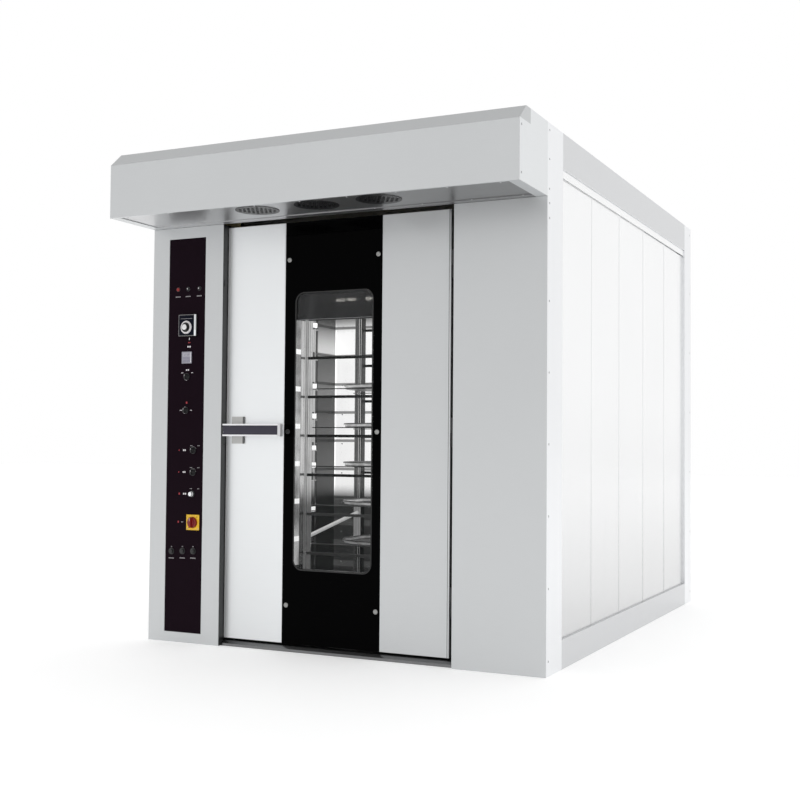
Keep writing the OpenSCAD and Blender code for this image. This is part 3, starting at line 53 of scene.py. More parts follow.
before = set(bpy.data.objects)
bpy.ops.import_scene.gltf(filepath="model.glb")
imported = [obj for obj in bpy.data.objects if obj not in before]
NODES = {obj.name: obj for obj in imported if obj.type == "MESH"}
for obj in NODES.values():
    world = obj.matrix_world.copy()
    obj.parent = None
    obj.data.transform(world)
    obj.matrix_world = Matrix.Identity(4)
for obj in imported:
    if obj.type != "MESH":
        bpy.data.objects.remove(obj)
CAD_LOW, CAD_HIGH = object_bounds()
Y, Z = Vector((0, 1, 0)), Vector((0, 0, 1))
FORWARD = Vector((0, -1, 0))
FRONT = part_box("right_cover")[0].y
SIDE = CAD_HIGH.x
FASCIA_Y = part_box("control_fascia")[0].y
FACE_LOW, FACE_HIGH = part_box("door_skins")
BAND_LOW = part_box("door_glass")[0]
PANE_LOW, PANE_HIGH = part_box("window_panes")
RACK_LOW, RACK_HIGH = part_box("rack_frame")
RACK = Vector(((RACK_LOW.x + RACK_HIGH.x) / 2, (RACK_LOW.y + RACK_HIGH.y) / 2, 0))
DUCT_LOW, DUCT_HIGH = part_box("air_duct_panels")

# Places and counts that more than one piece or finish uses, in metres
LAMPS = ((-0.825, "Red lens"), (-0.769, "Dark lens"), (-0.707, "Dark lens"))
BUTTONS, SELECTORS, WHEELS = (1, 2, 3), (1, 2, 3, 4), (1, 2, 3, 4)
TRAYS, TRAY_PITCH = 6, 0.183
POST_WIDTH = 0.0415
STEM_BACK = FASCIA_Y + 0.019


def colour(name, description, default):
    return bpy.props.FloatVectorProperty(
        name=name, description=description, default=default, subtype="COLOR", size=3, min=0, max=1)


def length(name, description, default):
    return bpy.props.FloatProperty(
        name=name, description=description, default=default, unit="LENGTH", min=0, precision=4)


class OvenColours(bpy.types.PropertyGroup):
    """Colours of the oven's main surfaces"""

    front: colour("Front sheets", "Satin sheets of the hood, column, cover and door", (0.615, 0.628, 0.636))
    side: colour("Sides", "Bright sheets of the sides", (0.93, 0.935, 0.94))
    post: colour("Frame", "Posts and beams of the frame", (0.86, 0.87, 0.885))
    steel: colour("Steel", "Bare stainless steel", (0.66, 0.665, 0.675))
    band: colour("Glass band", "Black glass round the window", (0.0005, 0.0005, 0.0006))
    fascia: colour("Fascia", "Dark plate behind the controls", (0.0085, 0.0036, 0.0070))
    print_white: colour("White print", "Marks on the fascia", (0.75, 0.72, 0.74))
    print_red: colour("Red print", "Warning marks on the fascia", (0.35, 0.02, 0.03))
    lamp: colour("Lamp", "Light of the lamp strip", (1.0, 0.97, 0.90))
    machine: colour("Drive", "Paint of the rack's drive", (0.035, 0.09, 0.16))
    wool: colour("Insulation", "Mineral wool", (0.42, 0.35, 0.18))


class OvenSizes(bpy.types.PropertyGroup):
    """Sizes of the oven's fine parts"""

    fold: length("Fold radius", "Rounding along the folds of the sheets", 0.0015)
    screw: length("Screw radius", "Heads of the small sheet screws", 0.0045)
    cap: length("Cap radius", "Domed caps on the glass band", 0.011)
    bead: length("Bead", "Width of the rubber bead round the window", 0.006)
    # A dark film at the window's top: painted shade of the chamber's upper part
    tint: length("Painted shade strip", "Height of the tinted strip at the window's top", 0.120)
    tray_wall: length("Tray sheet", "Thickness of the trays' sheet", 0.0018)
    rivet: length("Rivet radius", "Rivets of the air ducts", 0.004)
    lip: length("Lip radius", "Lips of the door gasket", 0.0022)
    print_line: length("Printed line", "Width of the printed lines on the fascia", 0.0016)


class OvenStudio(bpy.types.PropertyGroup):
    """Camera and light"""

    lens: bpy.props.FloatProperty(name="Lens", description="Focal length", default=53.44, unit="CAMERA")
    eye: bpy.props.FloatVectorProperty(
        name="Eye", description="Place of the camera", default=(2.4946, -5.6096, 0.9143),
        subtype="TRANSLATION", unit="LENGTH")
    yaw: bpy.props.FloatProperty(
        name="Yaw", description="Turn to the left", default=math.radians(25.97), unit="ROTATION")
    pitch: bpy.props.FloatProperty(
        name="Pitch", description="Look up", default=math.radians(2.09), unit="ROTATION")
    roll: bpy.props.FloatProperty(
        name="Roll", description="Tilt", default=math.radians(0.46), unit="ROTATION")
    sky: bpy.props.FloatProperty(name="Sky", description="Brightness of the white studio", default=1.0)
    inside: bpy.props.FloatProperty(
        name="Chamber light", description="Power of the light in the chamber", default=3.0, unit="POWER")


# ---- Shader expressions ----

class Value:
    """A socket that takes part in Python expressions"""

    def __init__(self, finish, socket):
        self.finish, self.socket = finish, socket

    def __add__(self, other): return self.finish.maths("ADD", self, other)
    def __radd__(self, other): return self.finish.maths("ADD", other, self)
    def __sub__(self, other): return self.finish.maths("SUBTRACT", self, other)
    def __rsub__(self, other): return self.finish.maths("SUBTRACT", other, self)
    def __mul__(self, other): return self.finish.maths("MULTIPLY", self, other)
    def __rmul__(self, other): return self.finish.maths("MULTIPLY", other, self)


class Finish:
    """A material whose nodes are written as expressions"""

    def __init__(self, name, **surface):
        self.material = bpy.data.materials.new(name)
        self.material.use_nodes = True
        self.tree = self.material.node_tree
        self.shader = self.tree.nodes["Principled BSDF"]
        self.set(**surface)

    def set(self, **surface):
        for key, value in surface.items():
            self.feed(self.shader.inputs[key.replace("_", " ").title().replace("Ior", "IOR")], value)
        return self

    def feed(self, socket, value):
        if isinstance(value, Value):
            self.tree.links.new(value.socket, socket)
        elif socket.type == "RGBA" and len(value) == 3:
            socket.default_value = (*value, 1)
        else:
            socket.default_value = value

    def node(self, kind, settings=None, inputs=None, output=0):
        node = self.tree.nodes.new("ShaderNode" + kind)
        for key, value in (settings or {}).items():
            setattr(node, key, value)
        for key, value in (inputs or {}).items():
            self.feed(node.inputs[key], value)
        return Value(self, node.outputs[output])

    def maths(self, operation, *values):
        return self.node("Math", {"operation": operation}, dict(enumerate(values)))

    def at(self, scale):
        where = self.node("TexCoord", output="Object")
        return self.node("VectorMath", {"operation": "MULTIPLY"}, {0: where, 1: scale})

    def noise(self, scale, detail=2.0, rough=0.5):
        """Noise from 0 to 1 whose grain is scale per metre along x, y and z"""
        return self.node("TexNoise", inputs={
            "Vector": self.at(scale), "Scale": 1.0, "Detail": detail, "Roughness": rough}, output="Fac")

    def cells(self, scale, feature="F1"):
        return self.node("TexVoronoi", {"feature": feature}, {"Vector": self.at(scale), "Scale": 1.0},
                         output="Distance")

    def along(self, axis):
        """The place along one axis, in metres"""
        return self.node("SeparateXYZ", inputs={"Vector": self.node("TexCoord", output="Object")}, output=axis)

    def zone(self, axis, low=None, high=None, soft=0.0004):
        """1 between two places along an axis, 0 beyond them"""
        place, share = self.along(axis), 1.0
        if low is not None:
            share = self.span(place, low - soft, low + soft)
        if high is not None:
            share = self.span(place, high - soft, high + soft, 1.0, 0.0) * share
        return share

    def area(self, limits, soft=0.0004):
        """1 inside the limits given for each axis"""
        share = 1.0
        for axis, (low, high) in limits.items():
            share = self.zone(axis, low, high, soft) * share
        return share

    def stripes(self, axis, start, pitch, share):
        """1 on stripes that repeat along an axis, each a share of the pitch wide"""
        turn = self.maths("FRACT", (self.along(axis) - start) * (1 / pitch))
        return self.span(turn, 0.0, 0.02) * self.span(turn, share, share + 0.02, 1.0, 0.0)

    def tint(self, share, tone, by):
        """The tone multiplied by a factor where share is 1"""
        return self.node("Mix", {"data_type": "RGBA", "blend_type": "MULTIPLY"},
                         {0: share, 6: tone, 7: (by, by, by)}, 2)

    def span(self, value, low, high, to_low=0.0, to_high=1.0):
        return self.node("MapRange", {"interpolation_type": "SMOOTHSTEP"}, {
            "Value": value, "From Min": low, "From Max": high, "To Min": to_low, "To Max": to_high})

    def mix(self, factor, first, second):
        return self.node("Mix", {"data_type": "RGBA"}, {0: factor, 6: first, 7: second}, 2)

    def bump(self, height, distance, strength=1.0):
        return self.node("Bump", inputs={"Height": height, "Distance": distance, "Strength": strength},
                         output="Normal")


def shade(colour, factor):
    return tuple(min(1.0, c * factor) for c in colour)


def metal(name, colour, roughness, metallic=1.0, grain=(900, 900, 8), spread=0.08, wave=0.0, zones=(), **more):
    """Rolled or brushed sheet: a fine grain, faint clouds, the waviness of thin sheet, and zones made lighter or
    darker, most of them painted light and shade
    """
    finish = Finish(name, metallic=metallic, **more)
    lines = finish.noise(grain, 2.0)
    clouds = finish.noise((2.1, 2.1, 1.3), 3.0)
    wear = finish.span(finish.noise((14, 14, 9), 4.0), 0.62, 0.78)
    tone = finish.mix(clouds, shade(colour, 0.97), shade(colour, 1.03))
    tone = finish.mix(lines * 0.5, tone, shade(colour, 0.93))
    # Each zone multiplies the tone; most zones are painted light and shade
    for limits, by, soft in zones:
        tone = finish.tint(finish.area(limits, soft), tone, by)
    height = lines * 0.4 + wear * 0.3
    if wave:
        height = height + finish.noise((1.6, 1.6, 1.1), 1.0) * wave
    return finish.set(
        base_color=tone, roughness=(lines - 0.5) * spread + (clouds - 0.5) * 0.06 + wear * 0.04 + roughness,
        normal=finish.bump(height, 0.00025)).material


def painted_light_wall(name, roughness=0.3):
    """Brushed wall of the lit chamber, its light and shade painted into the colour and given off as glow: bright down
    to the lowest trays, with streaks, painted reflections of the bars, and painted shade at the top, past the ducts'
    edges, along the slot and below the lit trays
    """
    seam, sheet = 0.1069, 0.2108
    first_bar, bar_pitch, bar_share = 0.765, 0.1525, 0.095
    first_shelf, shelf_pitch, shelf_share = 0.36, 0.11, 0.30
    # The wall glows: its emission colour is the painted tone below
    finish = Finish(name, metallic=0.4, emission_strength=0.80)
    streaks = finish.noise((60, 60, 0.8), 3.0, 0.6)
    lines = finish.noise((420, 420, 5), 2.0)
    z = finish.along("Z")
    # Painted light and shade on the rear part of the walls: a ramp that repeats every sheet, halved below 1.15 m,
    # bright just above 1.38 m
    shade_ramp = finish.maths("FRACT", (z - seam) * (1 / sheet))
    rear = finish.zone("Y", FRONT + 0.974)
    back = finish.zone("Y", FRONT + 1.176)
    high = finish.span(z, 1.37, 1.40)
    beside = finish.span(streaks, 0.35, 0.65) * 0.45 + 0.22
    deep = (shade_ramp * -0.12 + 0.17) * finish.span(z, 1.150, 1.165, 0.50, 1.0) * (1 - high)
    deep = deep + high * finish.span(z, 1.38, 1.56, 0.60, 0.15)
    tone = beside * (1 - rear) + deep * rear
    # Painted light: the back wall brightest
    tone = tone * (1 - back) + back * 1.25
    # Painted reflections of the guard bars: dark stripes
    bars = finish.stripes("Z", first_bar, bar_pitch, bar_share) * rear
    tone = tone * (1 - bars * 0.72)
    # Painted shade along the slot: nearly black
    slot_shade = finish.zone("Y", FRONT + 0.963, FRONT + 0.985, 0.002)
    tone = tone * (1 - slot_shade * 0.98)
    # Painted shade on the walls past the ducts' edges
    shade_behind_ducts = finish.zone("X", None, DUCT_LOW.x - 0.004) + finish.zone("X", DUCT_HIGH.x + 0.004)
    tone = tone * (1 - shade_behind_ducts * 0.97)
    # Painted shade towards the top
    tone = tone * finish.span(z, 1.50, 1.60, 1.0, 0.16)
    # Painted shade below the lit trays, with faint stripes
    lit = finish.span(z, 0.60, 0.70)
    faint = (finish.stripes("Z", first_shelf, shelf_pitch, shelf_share) * 0.05 + 0.03) * back + (1 - back) * 0.008
    tone = tone * lit + faint * (1 - lit)
    tone = tone * (lines * 0.16 + 0.92)
    # Half the painted tone as base colour, the whole of it as glow
    return finish.set(base_color=tone * 0.5 + 0.01, emission_color=tone, roughness=lines * 0.1 + roughness,
                      normal=finish.bump(lines, 0.0002)).material


def rack_steel(name):
    """Drawn steel of the rack, its light and shade painted into the colour and given off as glow: painted highlights
    on the posts, the front-left post and the brace lit, guard bars dark against the light, darker towards the floor
    """
    # The rack glows: its emission colour is the painted tone below
    finish = Finish(name, metallic=0.5, emission_strength=0.75)
    streaks = finish.noise((170, 170, 0.5), 1.0)
    beads = finish.noise((40, 40, 22), 2.0)
    tone = finish.span(streaks, 0.40, 0.58) * 0.08 + 0.10
    # Painted highlights: light lines on the face of the post
    lines = finish.stripes("X", RACK_LOW.x + 0.0225, 0.0100, 0.30)
    face = finish.zone("X", RACK_LOW.x + 0.019, RACK_LOW.x + POST_WIDTH)
    tone = tone * (1 - face) + (lines * 0.75 + 0.02) * face
    # Painted light on the front-left post and on the brace
    left_front = finish.area({"X": (None, RACK_LOW.x + POST_WIDTH), "Y": (None, RACK.y - 0.2)})
    tone = tone * (1 - left_front) + (finish.span(streaks, 0.30, 0.70) * 0.32 + 0.24) * left_front
    brace = finish.area({
        "X": (None, RACK_LOW.x + POST_WIDTH), "Y": (RACK.y - 0.252, RACK.y + 0.250), "Z": (0.42, 0.60)})
    tone = tone * (1 - brace) + brace * 0.55
    # Painted shade: guard bars dark against the light, darker still above 0.64 m
    bars = finish.area({"X": (RACK_LOW.x + POST_WIDTH, RACK_HIGH.x - POST_WIDTH)})
    above = finish.zone("Z", 0.64, None, 0.02)
    tone = tone * (1 - bars) + (above * -0.10 + 0.115) * bars
    # Painted shade towards the floor, and more painted light on the brace
    tone = tone * finish.span(finish.along("Z"), 0.60, 0.72, 0.35, 1.0) + brace * 0.3
    tone = tone * (beads * 0.4 + 0.8)
    return finish.set(base_color=tone * 0.8 + 0.0005, emission_color=tone, roughness=beads * 0.1 + 0.25,
                      normal=finish.bump(streaks, 0.0002)).material


def reveal_steel(name):
    """Polished steel that lines the door, kept dark as painted shade, with painted reflections of the louvres and the
    guard bars on the window's side, given off as glow
    """
    first_louvre, louvre_pitch, louvre_share = 0.477, 0.1655, 0.135
    first_bar, bar_pitch, bar_share = 0.7655, 0.1731, 0.060
    finish = Finish(name, metallic=0.8, emission_strength=0.9)
    side = finish.area({"X": (PANE_LOW.x - 0.004, PANE_LOW.x + 0.004), "Z": (PANE_LOW.z + 0.02, PANE_HIGH.z - 0.12)})
    near = finish.zone("Y", FRONT + 0.047, FRONT + 0.092)
    far = finish.zone("Y", FRONT + 0.094, FRONT + 0.131)
    clouds = finish.span(finish.noise((8, 8, 6.5), 2.0), 0.35, 0.65)
    streaks = finish.noise((150, 150, 0.8), 2.0)
    # Painted reflections: bright stripes for the louvres, dark stripes for the guard bars
    blocks = finish.stripes("Z", first_louvre, louvre_pitch, louvre_share)
    painted_bar_reflections = finish.stripes("Z", first_bar, bar_pitch, bar_share)
    # Painted shade: the reflections on the far part dim below 0.7 m
    above = finish.zone("Z", 0.70, None, 0.06)
    first = (clouds * 0.30 + 0.12) * (1 - blocks) + blocks * 0.95
    second = (finish.span(streaks, 0.30, 0.70) * 0.30 + 0.32) * (1 - painted_bar_reflections * 0.96) * (above * 0.9 + 0.1)
    tone = (first * near + second * far) * side
    grain = finish.noise((9, 600, 9), 2.0)
    # The painted tone given off as glow
    return finish.set(base_color=tone * 0.3 + 0.16, emission_color=tone, roughness=grain * 0.1 + 0.22,
                      normal=finish.bump(grain, 0.0002)).material


def tray_steel(name):
    """Aluminised tray sheet, its light and shade painted into the colour and given off as glow: bright sides between a
    rim and a bottom edge in painted shade, darker on the lower trays
    """
    finish = Finish(name, metallic=0.6, emission_strength=0.6)
    turn = finish.maths("FRACT", (finish.along("Z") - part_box("baking_trays")[0].z) * (1 / TRAY_PITCH))
    # Painted shade under each rim and along each bottom edge
    edge = finish.span(turn, 0.020, 0.030, 1.0, 0.0) + finish.span(turn, 0.078, 0.088)
    worn = finish.noise((24, 24, 60), 4.0)
    tone = (1 - edge * 0.82) * (finish.span(worn, 0.35, 0.7) * 0.35 + 0.50)
    # Painted shade: darker on the lower trays
    tone = tone * finish.span(finish.along("Z"), 0.30, 0.95, 0.40, 1.0)
    # The painted tone given off as glow
    return finish.set(base_color=tone * 0.7 + 0.02, emission_color=tone, roughness=worn * 0.2 + 0.25,
                      normal=finish.bump(worn, 0.0004)).material


def paint(name, colour, roughness=0.35, peel=0.5, metallic=0.0, **more):
    """Stove enamel or powder coat: orange peel, faint clouds and settled dust"""
    finish = Finish(name, metallic=metallic, **more)
    skin = finish.noise((420, 420, 420), 2.0)
    clouds = finish.noise((3, 3, 3), 3.0)
    dust = finish.span(finish.noise((38, 38, 38), 5.0), 0.55, 0.8)
    tone = finish.mix(clouds, shade(colour, 0.95), shade(colour, 1.04))
    tone = finish.mix(dust * 0.10, tone, (0.5, 0.5, 0.48))
    return finish.set(base_color=tone, roughness=skin * 0.08 + dust * 0.12 + roughness,
                      normal=finish.bump(skin, 0.0002 * peel)).material


def plastic(name, colour, roughness=0.3, texture=1.0, **more):
    """Moulded plastic: a fine spark-eroded texture with worn, smoother patches"""
    finish = Finish(name, **more)
    grain = finish.noise((2600, 2600, 2600), 1.0)
    clouds = finish.noise((25, 25, 25), 3.0)
    tone = finish.mix(clouds, shade(colour, 0.9), shade(colour, 1.08))
    return finish.set(base_color=tone, roughness=(clouds - 0.5) * 0.12 + grain * 0.05 + roughness,
                      normal=finish.bump(grain, 0.00006 * texture)).material


def hot_steel(name, colour, roughness=0.45):
    """Steel that has been hot: straw and blue tints, and scale"""
    finish = Finish(name, metallic=0.85)
    clouds = finish.noise((5, 5, 3), 4.0)
    scale = finish.span(finish.noise((60, 60, 60), 6.0), 0.5, 0.72)
    tone = finish.mix(finish.span(clouds, 0.35, 0.6), shade(colour, 0.8), (0.42, 0.30, 0.16))
    tone = finish.mix(finish.span(clouds, 0.55, 0.75), tone, (0.16, 0.17, 0.26))
    tone = finish.mix(scale * 0.5, tone, (0.10, 0.08, 0.07))
    return finish.set(base_color=tone, roughness=scale * 0.3 + roughness,
                      normal=finish.bump(scale + clouds, 0.0006)).material


def fibres(name, colour):
    """Mineral wool: felted fibres in uneven tufts"""
    finish = Finish(name)
    tufts = finish.cells((55, 55, 55))
    strands = finish.noise((900, 900, 120), 4.0, 0.7)
    tone = finish.mix(strands, shade(colour, 0.6), shade(colour, 1.3))
    tone = finish.mix(tufts, tone, shade(colour, 0.8))
    return finish.set(base_color=tone, roughness=strands * 0.1 + 0.85,
                      normal=finish.bump(strands + tufts, 0.004)).material


def glow(name, colour, strength, base=(0.8, 0.8, 0.8)):
    """A surface that gives off light, faintly rippled: a lamp, or painted light on a part that is no lamp"""
    finish = Finish(name, base_color=base, emission_color=colour, emission_strength=strength)
    ripple = finish.noise((90, 90, 90), 2.0)
    return finish.set(roughness=ripple * 0.2 + 0.2).material


def glass(name, colour, alpha, roughness=0.02, **more):
    """See-through glass or film with faint smears"""
    finish = Finish(name, base_color=colour, ior=1.45, **more)
    smears = finish.span(finish.noise((9, 9, 5), 5.0), 0.5, 0.8)
    finish.set(roughness=smears * 0.05 + roughness, alpha=smears * 0.02 + alpha)
    finish.material.surface_render_method = "BLENDED"
    return finish.material


# ---- Modelling ----

def only(*pieces):
    """Selects these pieces alone"""
    bpy.ops.object.select_all(action="DESELECT")
    for piece in pieces:
        piece.select_set(True)
    bpy.context.view_layer.objects.active = pieces[0]


def settle(*pieces):
    """Brings pieces to the origin, with their place in their meshes"""
    only(*pieces)
    bpy.ops.object.transform_apply(location=True, rotation=True, scale=True)


def modify(piece, kind, **settings):
    only(piece)
    modifier = piece.modifiers.new(kind.title(), kind)
    for key, value in settings.items():
        setattr(modifier, key, value)
    bpy.ops.object.modifier_apply(modifier=modifier.name)
    return piece


def shape(piece, *steps, faces=None, edges=None, points=None):
    """Takes steps in edit mode on the faces, edges or points that a test picks, or on all"""
    only(piece)
    bpy.ops.object.mode_set(mode="EDIT")
    bpy.ops.mesh.select_mode(type="FACE" if faces else "EDGE" if edges else "VERT")
    bpy.ops.mesh.select_all(action="SELECT" if not (faces or edges or points) else "DESELECT")
    mesh = bmesh.from_edit_mesh(piece.data)
    for test, parts in ((faces, mesh.faces), (edges, mesh.edges), (points, mesh.verts)):
        for part in parts if test else ():
            if test(part):
                part.select_set(True)
    mesh.select_flush_mode()
    bmesh.update_edit_mesh(piece.data)
    for step, settings in steps:
        step(**settings)
    bpy.ops.object.mode_set(mode="OBJECT")
    return piece


def outward(piece):
    """Merges doubles and turns the faces outwards"""
    return shape(piece, (bpy.ops.mesh.remove_doubles, {"threshold": 1e-6}),
                 (bpy.ops.mesh.normals_make_consistent, {"inside": False}))


def smooth(piece, angle=35):
    only(piece)
    bpy.ops.object.shade_smooth_by_angle(angle=math.radians(angle))
    return piece


def stand(piece, centre, axis=Z):
    """Turns a piece made upright at the origin along axis, and puts it at centre"""
    piece.rotation_euler = Vector(axis).to_track_quat("Z", "Y").to_euler()
    piece.location = centre
    settle(piece)
    return piece


def block(low, high, fold=0.0, segments=2):
    """A block between two corners, with rounded edges"""
    low, high = Vector(low), Vector(high)
    bpy.ops.mesh.primitive_cube_add(size=1, location=(low + high) / 2, scale=high - low)
    piece = bpy.context.object
    settle(piece)
    if fold:
        modify(piece, "BEVEL", width=fold, segments=segments, limit_method="ANGLE")
        smooth(piece)
    return piece


def turned(profile, centre=(0, 0, 0), axis=Z, sides=32, angle=35):
    """A round piece, its disc drawn out from each radius and height to the next, then stood at centre along axis"""
    (radius, height), *steps = profile
    bpy.ops.mesh.primitive_circle_add(vertices=sides, radius=radius, fill_type="NGON", location=(0, 0, height))
    piece = bpy.context.object
    settle(piece)
    bpy.ops.object.mode_set(mode="EDIT")
    bpy.ops.mesh.select_all(action="SELECT")
    for to_radius, to_height in steps:
        bpy.ops.mesh.extrude_region_move(TRANSFORM_OT_translate={"value": (0, 0, to_height - height)})
        bpy.ops.transform.resize(value=(to_radius / radius, to_radius / radius, 1), center_override=(0, 0, to_height))
        radius, height = to_radius, to_height
    bpy.ops.object.mode_set(mode="OBJECT")
    outward(piece)
    return stand(smooth(piece, angle), centre, axis)


def plate(low, high, corner, arc=10, corners=None):
    """A flat face on the front, from low to high in x and z, the corners that a test picks rounded"""
    bpy.ops.mesh.primitive_plane_add(size=1, location=(low + high) / 2, rotation=(math.pi / 2, 0, 0))
    piece = bpy.context.object
    piece.scale = (high.x - low.x, high.z - low.z, 1)
    settle(piece)
    if corner:
        shape(piece, (bpy.ops.mesh.bevel, {"offset": corner, "segments": arc, "affect": "VERTICES"}), points=corners)
    return piece


def rim(low, high, corner, width, thick, arc=10):
    """A flat frame on the front: from low to high in x and z, its corners rounded, thick towards the viewer"""
    low, high = Vector(low), Vector(high)
    piece = plate(low, high, corner, arc)
    shape(piece, (bpy.ops.mesh.inset, {"thickness": width}), faces=lambda face: True)
    middle = (low + high) / 2
    shape(piece, (bpy.ops.mesh.delete, {"type": "FACE"}),
          faces=lambda face: (face.calc_center_median() - middle).length < 1e-4 and len(face.verts) > 3
          and face.calc_area() > 0.5 * (high.x - low.x - 2 * width) * (high.z - low.z - 2 * width))
    shape(piece, (bpy.ops.mesh.extrude_region_move, {"TRANSFORM_OT_translate": {"value": (0, -thick, 0)}}),
          faces=lambda face: True)
    return outward(piece)


def tube(points, radius, sides=8, closed=False, arc=0.0):
    """A round wire along points, its bends rounded by arc"""
    curve = bpy.data.curves.new("Wire", "CURVE")
    curve.dimensions, curve.bevel_depth, curve.bevel_resolution, curve.use_fill_caps = "3D", radius, sides // 4, True
    points = [Vector(point) for point in points]
    path = []
    for index, point in enumerate(points):
        before, after = points[index - 1], points[(index + 1) % len(points)]
        if arc and (closed or 0 < index < len(points) - 1):
            first, last = point + (before - point).normalized() * arc, point + (after - point).normalized() * arc
            path += [first.lerp(point, t).lerp(point.lerp(last, t), t) for t in (0, 0.2, 0.4, 0.6, 0.8, 1)]
        else:
            path.append(point)
    spline = curve.splines.new("POLY")
    spline.points.add(len(path) - 1)
    spline.use_cyclic_u = closed
    for point, where in zip(spline.points, path):
        point.co = (*where, 1)
    piece = bpy.data.objects.new("Wire", curve)
    bpy.context.collection.objects.link(piece)
    only(piece)
    bpy.ops.object.convert(target="MESH")
    return smooth(outward(bpy.context.object), 50)


def copies(piece, places):
    """The piece at each place it is moved to, each with its own mesh"""
    made = []
    for place in places:
        twin = piece.copy()
        twin.data = piece.data.copy()
        bpy.context.collection.objects.link(twin)
        twin.location = place
        made.append(twin)
    bpy.data.objects.remove(piece)
    settle(*made)
    return made


def about(piece, axis, centre, turns):
    """The piece repeated round an axis through centre"""
    made = []
    to_centre = Matrix.Translation(centre)
    for turn in range(turns):
        twin = piece.copy()
        twin.data = piece.data.copy()
        bpy.context.collection.objects.link(twin)
        spun = Matrix.Rotation(math.tau * turn / turns, 4, Vector(axis))
        twin.matrix_world = to_centre @ spun @ to_centre.inverted()
        made.append(twin)
    bpy.data.objects.remove(piece)
    settle(*made)
    return made


def finish(pieces, name):
    """Gives pieces one finish"""
    pieces = pieces if isinstance(pieces, list) else [pieces]
    for piece in pieces:
        piece.data.materials.clear()
        piece.data.materials.append(bpy.data.materials[name])
    return pieces


def mount(name, pieces, body, slot, *stands_for):
    """Joins pieces into one that moves with a body"""
    piece = pieces[0]
    only(*pieces)
    if len(pieces) > 1:
        bpy.ops.object.join()
    piece.name = piece.data.name = name
    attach(piece, body)
    if stands_for:
        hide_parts(*stands_for)
    return piece


def ahead(profile, at, depth, sides=40):
    """A round piece that stands forward from depth, at the x and z of a place"""
    return turned(profile, (at.x, depth, at.z), FORWARD, sides)


def middle(node):
    low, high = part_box(node)
    return (low + high) / 2


def printed(shapes, finish_name, depth=0.0003):
    """Flat shapes that lie on the fascia: blocks from (x, z) to (x, z)"""
    return finish([block((x0, FASCIA_Y - depth, z0), (x1, FASCIA_Y, z1)) for x0, z0, x1, z1 in shapes], finish_name)


def figures(text, centre, size, finish_name, lift=0.0004):
    """Numbers that stand upright on the front"""
    bpy.ops.object.text_add(location=(0, 0, 0))
    piece = bpy.context.object
    piece.data.body, piece.data.size, piece.data.align_x, piece.data.align_y = text, size, "CENTER", "CENTER"
    piece.data.extrude, piece.data.resolution_u = lift / 2, 3
    only(piece)
    bpy.ops.object.convert(target="MESH")
    piece = bpy.context.object
    piece.rotation_euler, piece.location = (math.pi / 2, 0, 0), centre
    settle(piece)
    return finish(outward(piece), finish_name)[0]


def ring_arc(centre, radius, width, start, end, dots=0, thick=0.0003):
    """A ring's arc, or dots along it, on the front plane, its angles in degrees clockwise from the top"""
    marks = []
    count = dots or 24
    step = math.radians(abs(end - start) / count)
    half = radius * step * 0.52
    for index in range(count + (1 if dots else 0)):
        turn = math.radians(start + (end - start) * index / count)
        if dots:
            mark = turned([(width / 2, 0), (width / 2, thick)], sides=10)
            mark.rotation_euler = (math.pi / 2, 0, 0)
            mark.location = Vector(centre) + Vector((math.sin(turn) * radius, 0, math.cos(turn) * radius))
        else:
            mark = block((-half, -thick, radius - width / 2), (half, 0, radius + width / 2))
            mark.rotation_euler = (0, turn + step / 2, 0)
            mark.location = centre
        marks.append(mark)
    settle(*marks)
    return marks


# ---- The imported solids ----

SOLID_FINISHES = {
    "body_frame": "Frame", "side_panels": "Side sheet", "rear_service_panels": "Frame", "insulation": "Mineral wool",
    "chamber_liner": "Chamber wall", "air_duct_panels": "Chamber wall", "door_surround": "Surround steel",
    "right_cover": "Front sheet", "control_column": "Column sheet", "control_fascia": "Fascia",
    "switch_bodies": "Black plastic", "indicator_lamps": "Red plastic", "temperature_controller": "Black plastic",
    "timer_display": "Grey plastic", "isolator_plate": "Yellow plastic", "hood_shell": "Hood sheet",
    "hood_underside": "Hood lining", "vent_grilles": "Black enamel", "hood_fan_housing": "Duct steel",
    "fan_motors": "Cast iron", "gearmotor": "Drive paint", "door_fittings": "Dark steel",
    "interior_lamp": "Lamp strip", "heat_exchanger": "Hot steel", "burner": "Cast iron",
    "steam_generator": "Hot steel", "flue_pipe": "Polished steel", "service_connections": "Brass",
    "door_core": "Reveal steel", "door_skins": "Door skin", "door_glass": "Black glass",
    "window_panes": "Clear glass", "door_gasket": "Rubber", "door_insulation": "Mineral wool",
    "hinge_leaves": "Dark steel", "handle_rosette": "Rosette steel", "glass_screws": "Cap steel",
    "handle_bar": "Handle steel",
    "dial_knob": "Dial metal", "key_switch": "Chrome", "isolator_knob": "Red plastic",
    "circulation_impeller": "Hot steel", "hood_fan_impeller": "Black plastic", "flue_damper": "Duct steel",
    "drive_shaft": "Hot steel", "rack_frame": "Rack steel", "baking_trays": "Tray steel",
    "castor_fork_1": "Rack steel", "castor_fork_2": "Rack steel",
    **{f"castor_wheel_{i}": "Wheel plastic" for i in WHEELS},
    **{f"selector_{i}": "Black plastic" for i in SELECTORS},
    **{f"push_button_{i}": "Black plastic" for i in BUTTONS},
}

# Share of the fold radius that each node's sharp edges are rounded by
FOLDED = {
    "body_frame": 1.0, "side_panels": 0.8, "right_cover": 1.0, "control_column": 1.0, "hood_shell": 1.2,
    "door_skins": 0.8, "door_core": 0.8, "handle_bar": 1.6, "handle_rosette": 1.2, "isolator_plate": 0.6,
    "temperature_controller": 0.8, "timer_display": 0.5, "rack_frame": 0.5, "door_surround": 0.6,
    "rear_service_panels": 0.6, "door_gasket": 2.0, "steam_generator": 0.8,
}


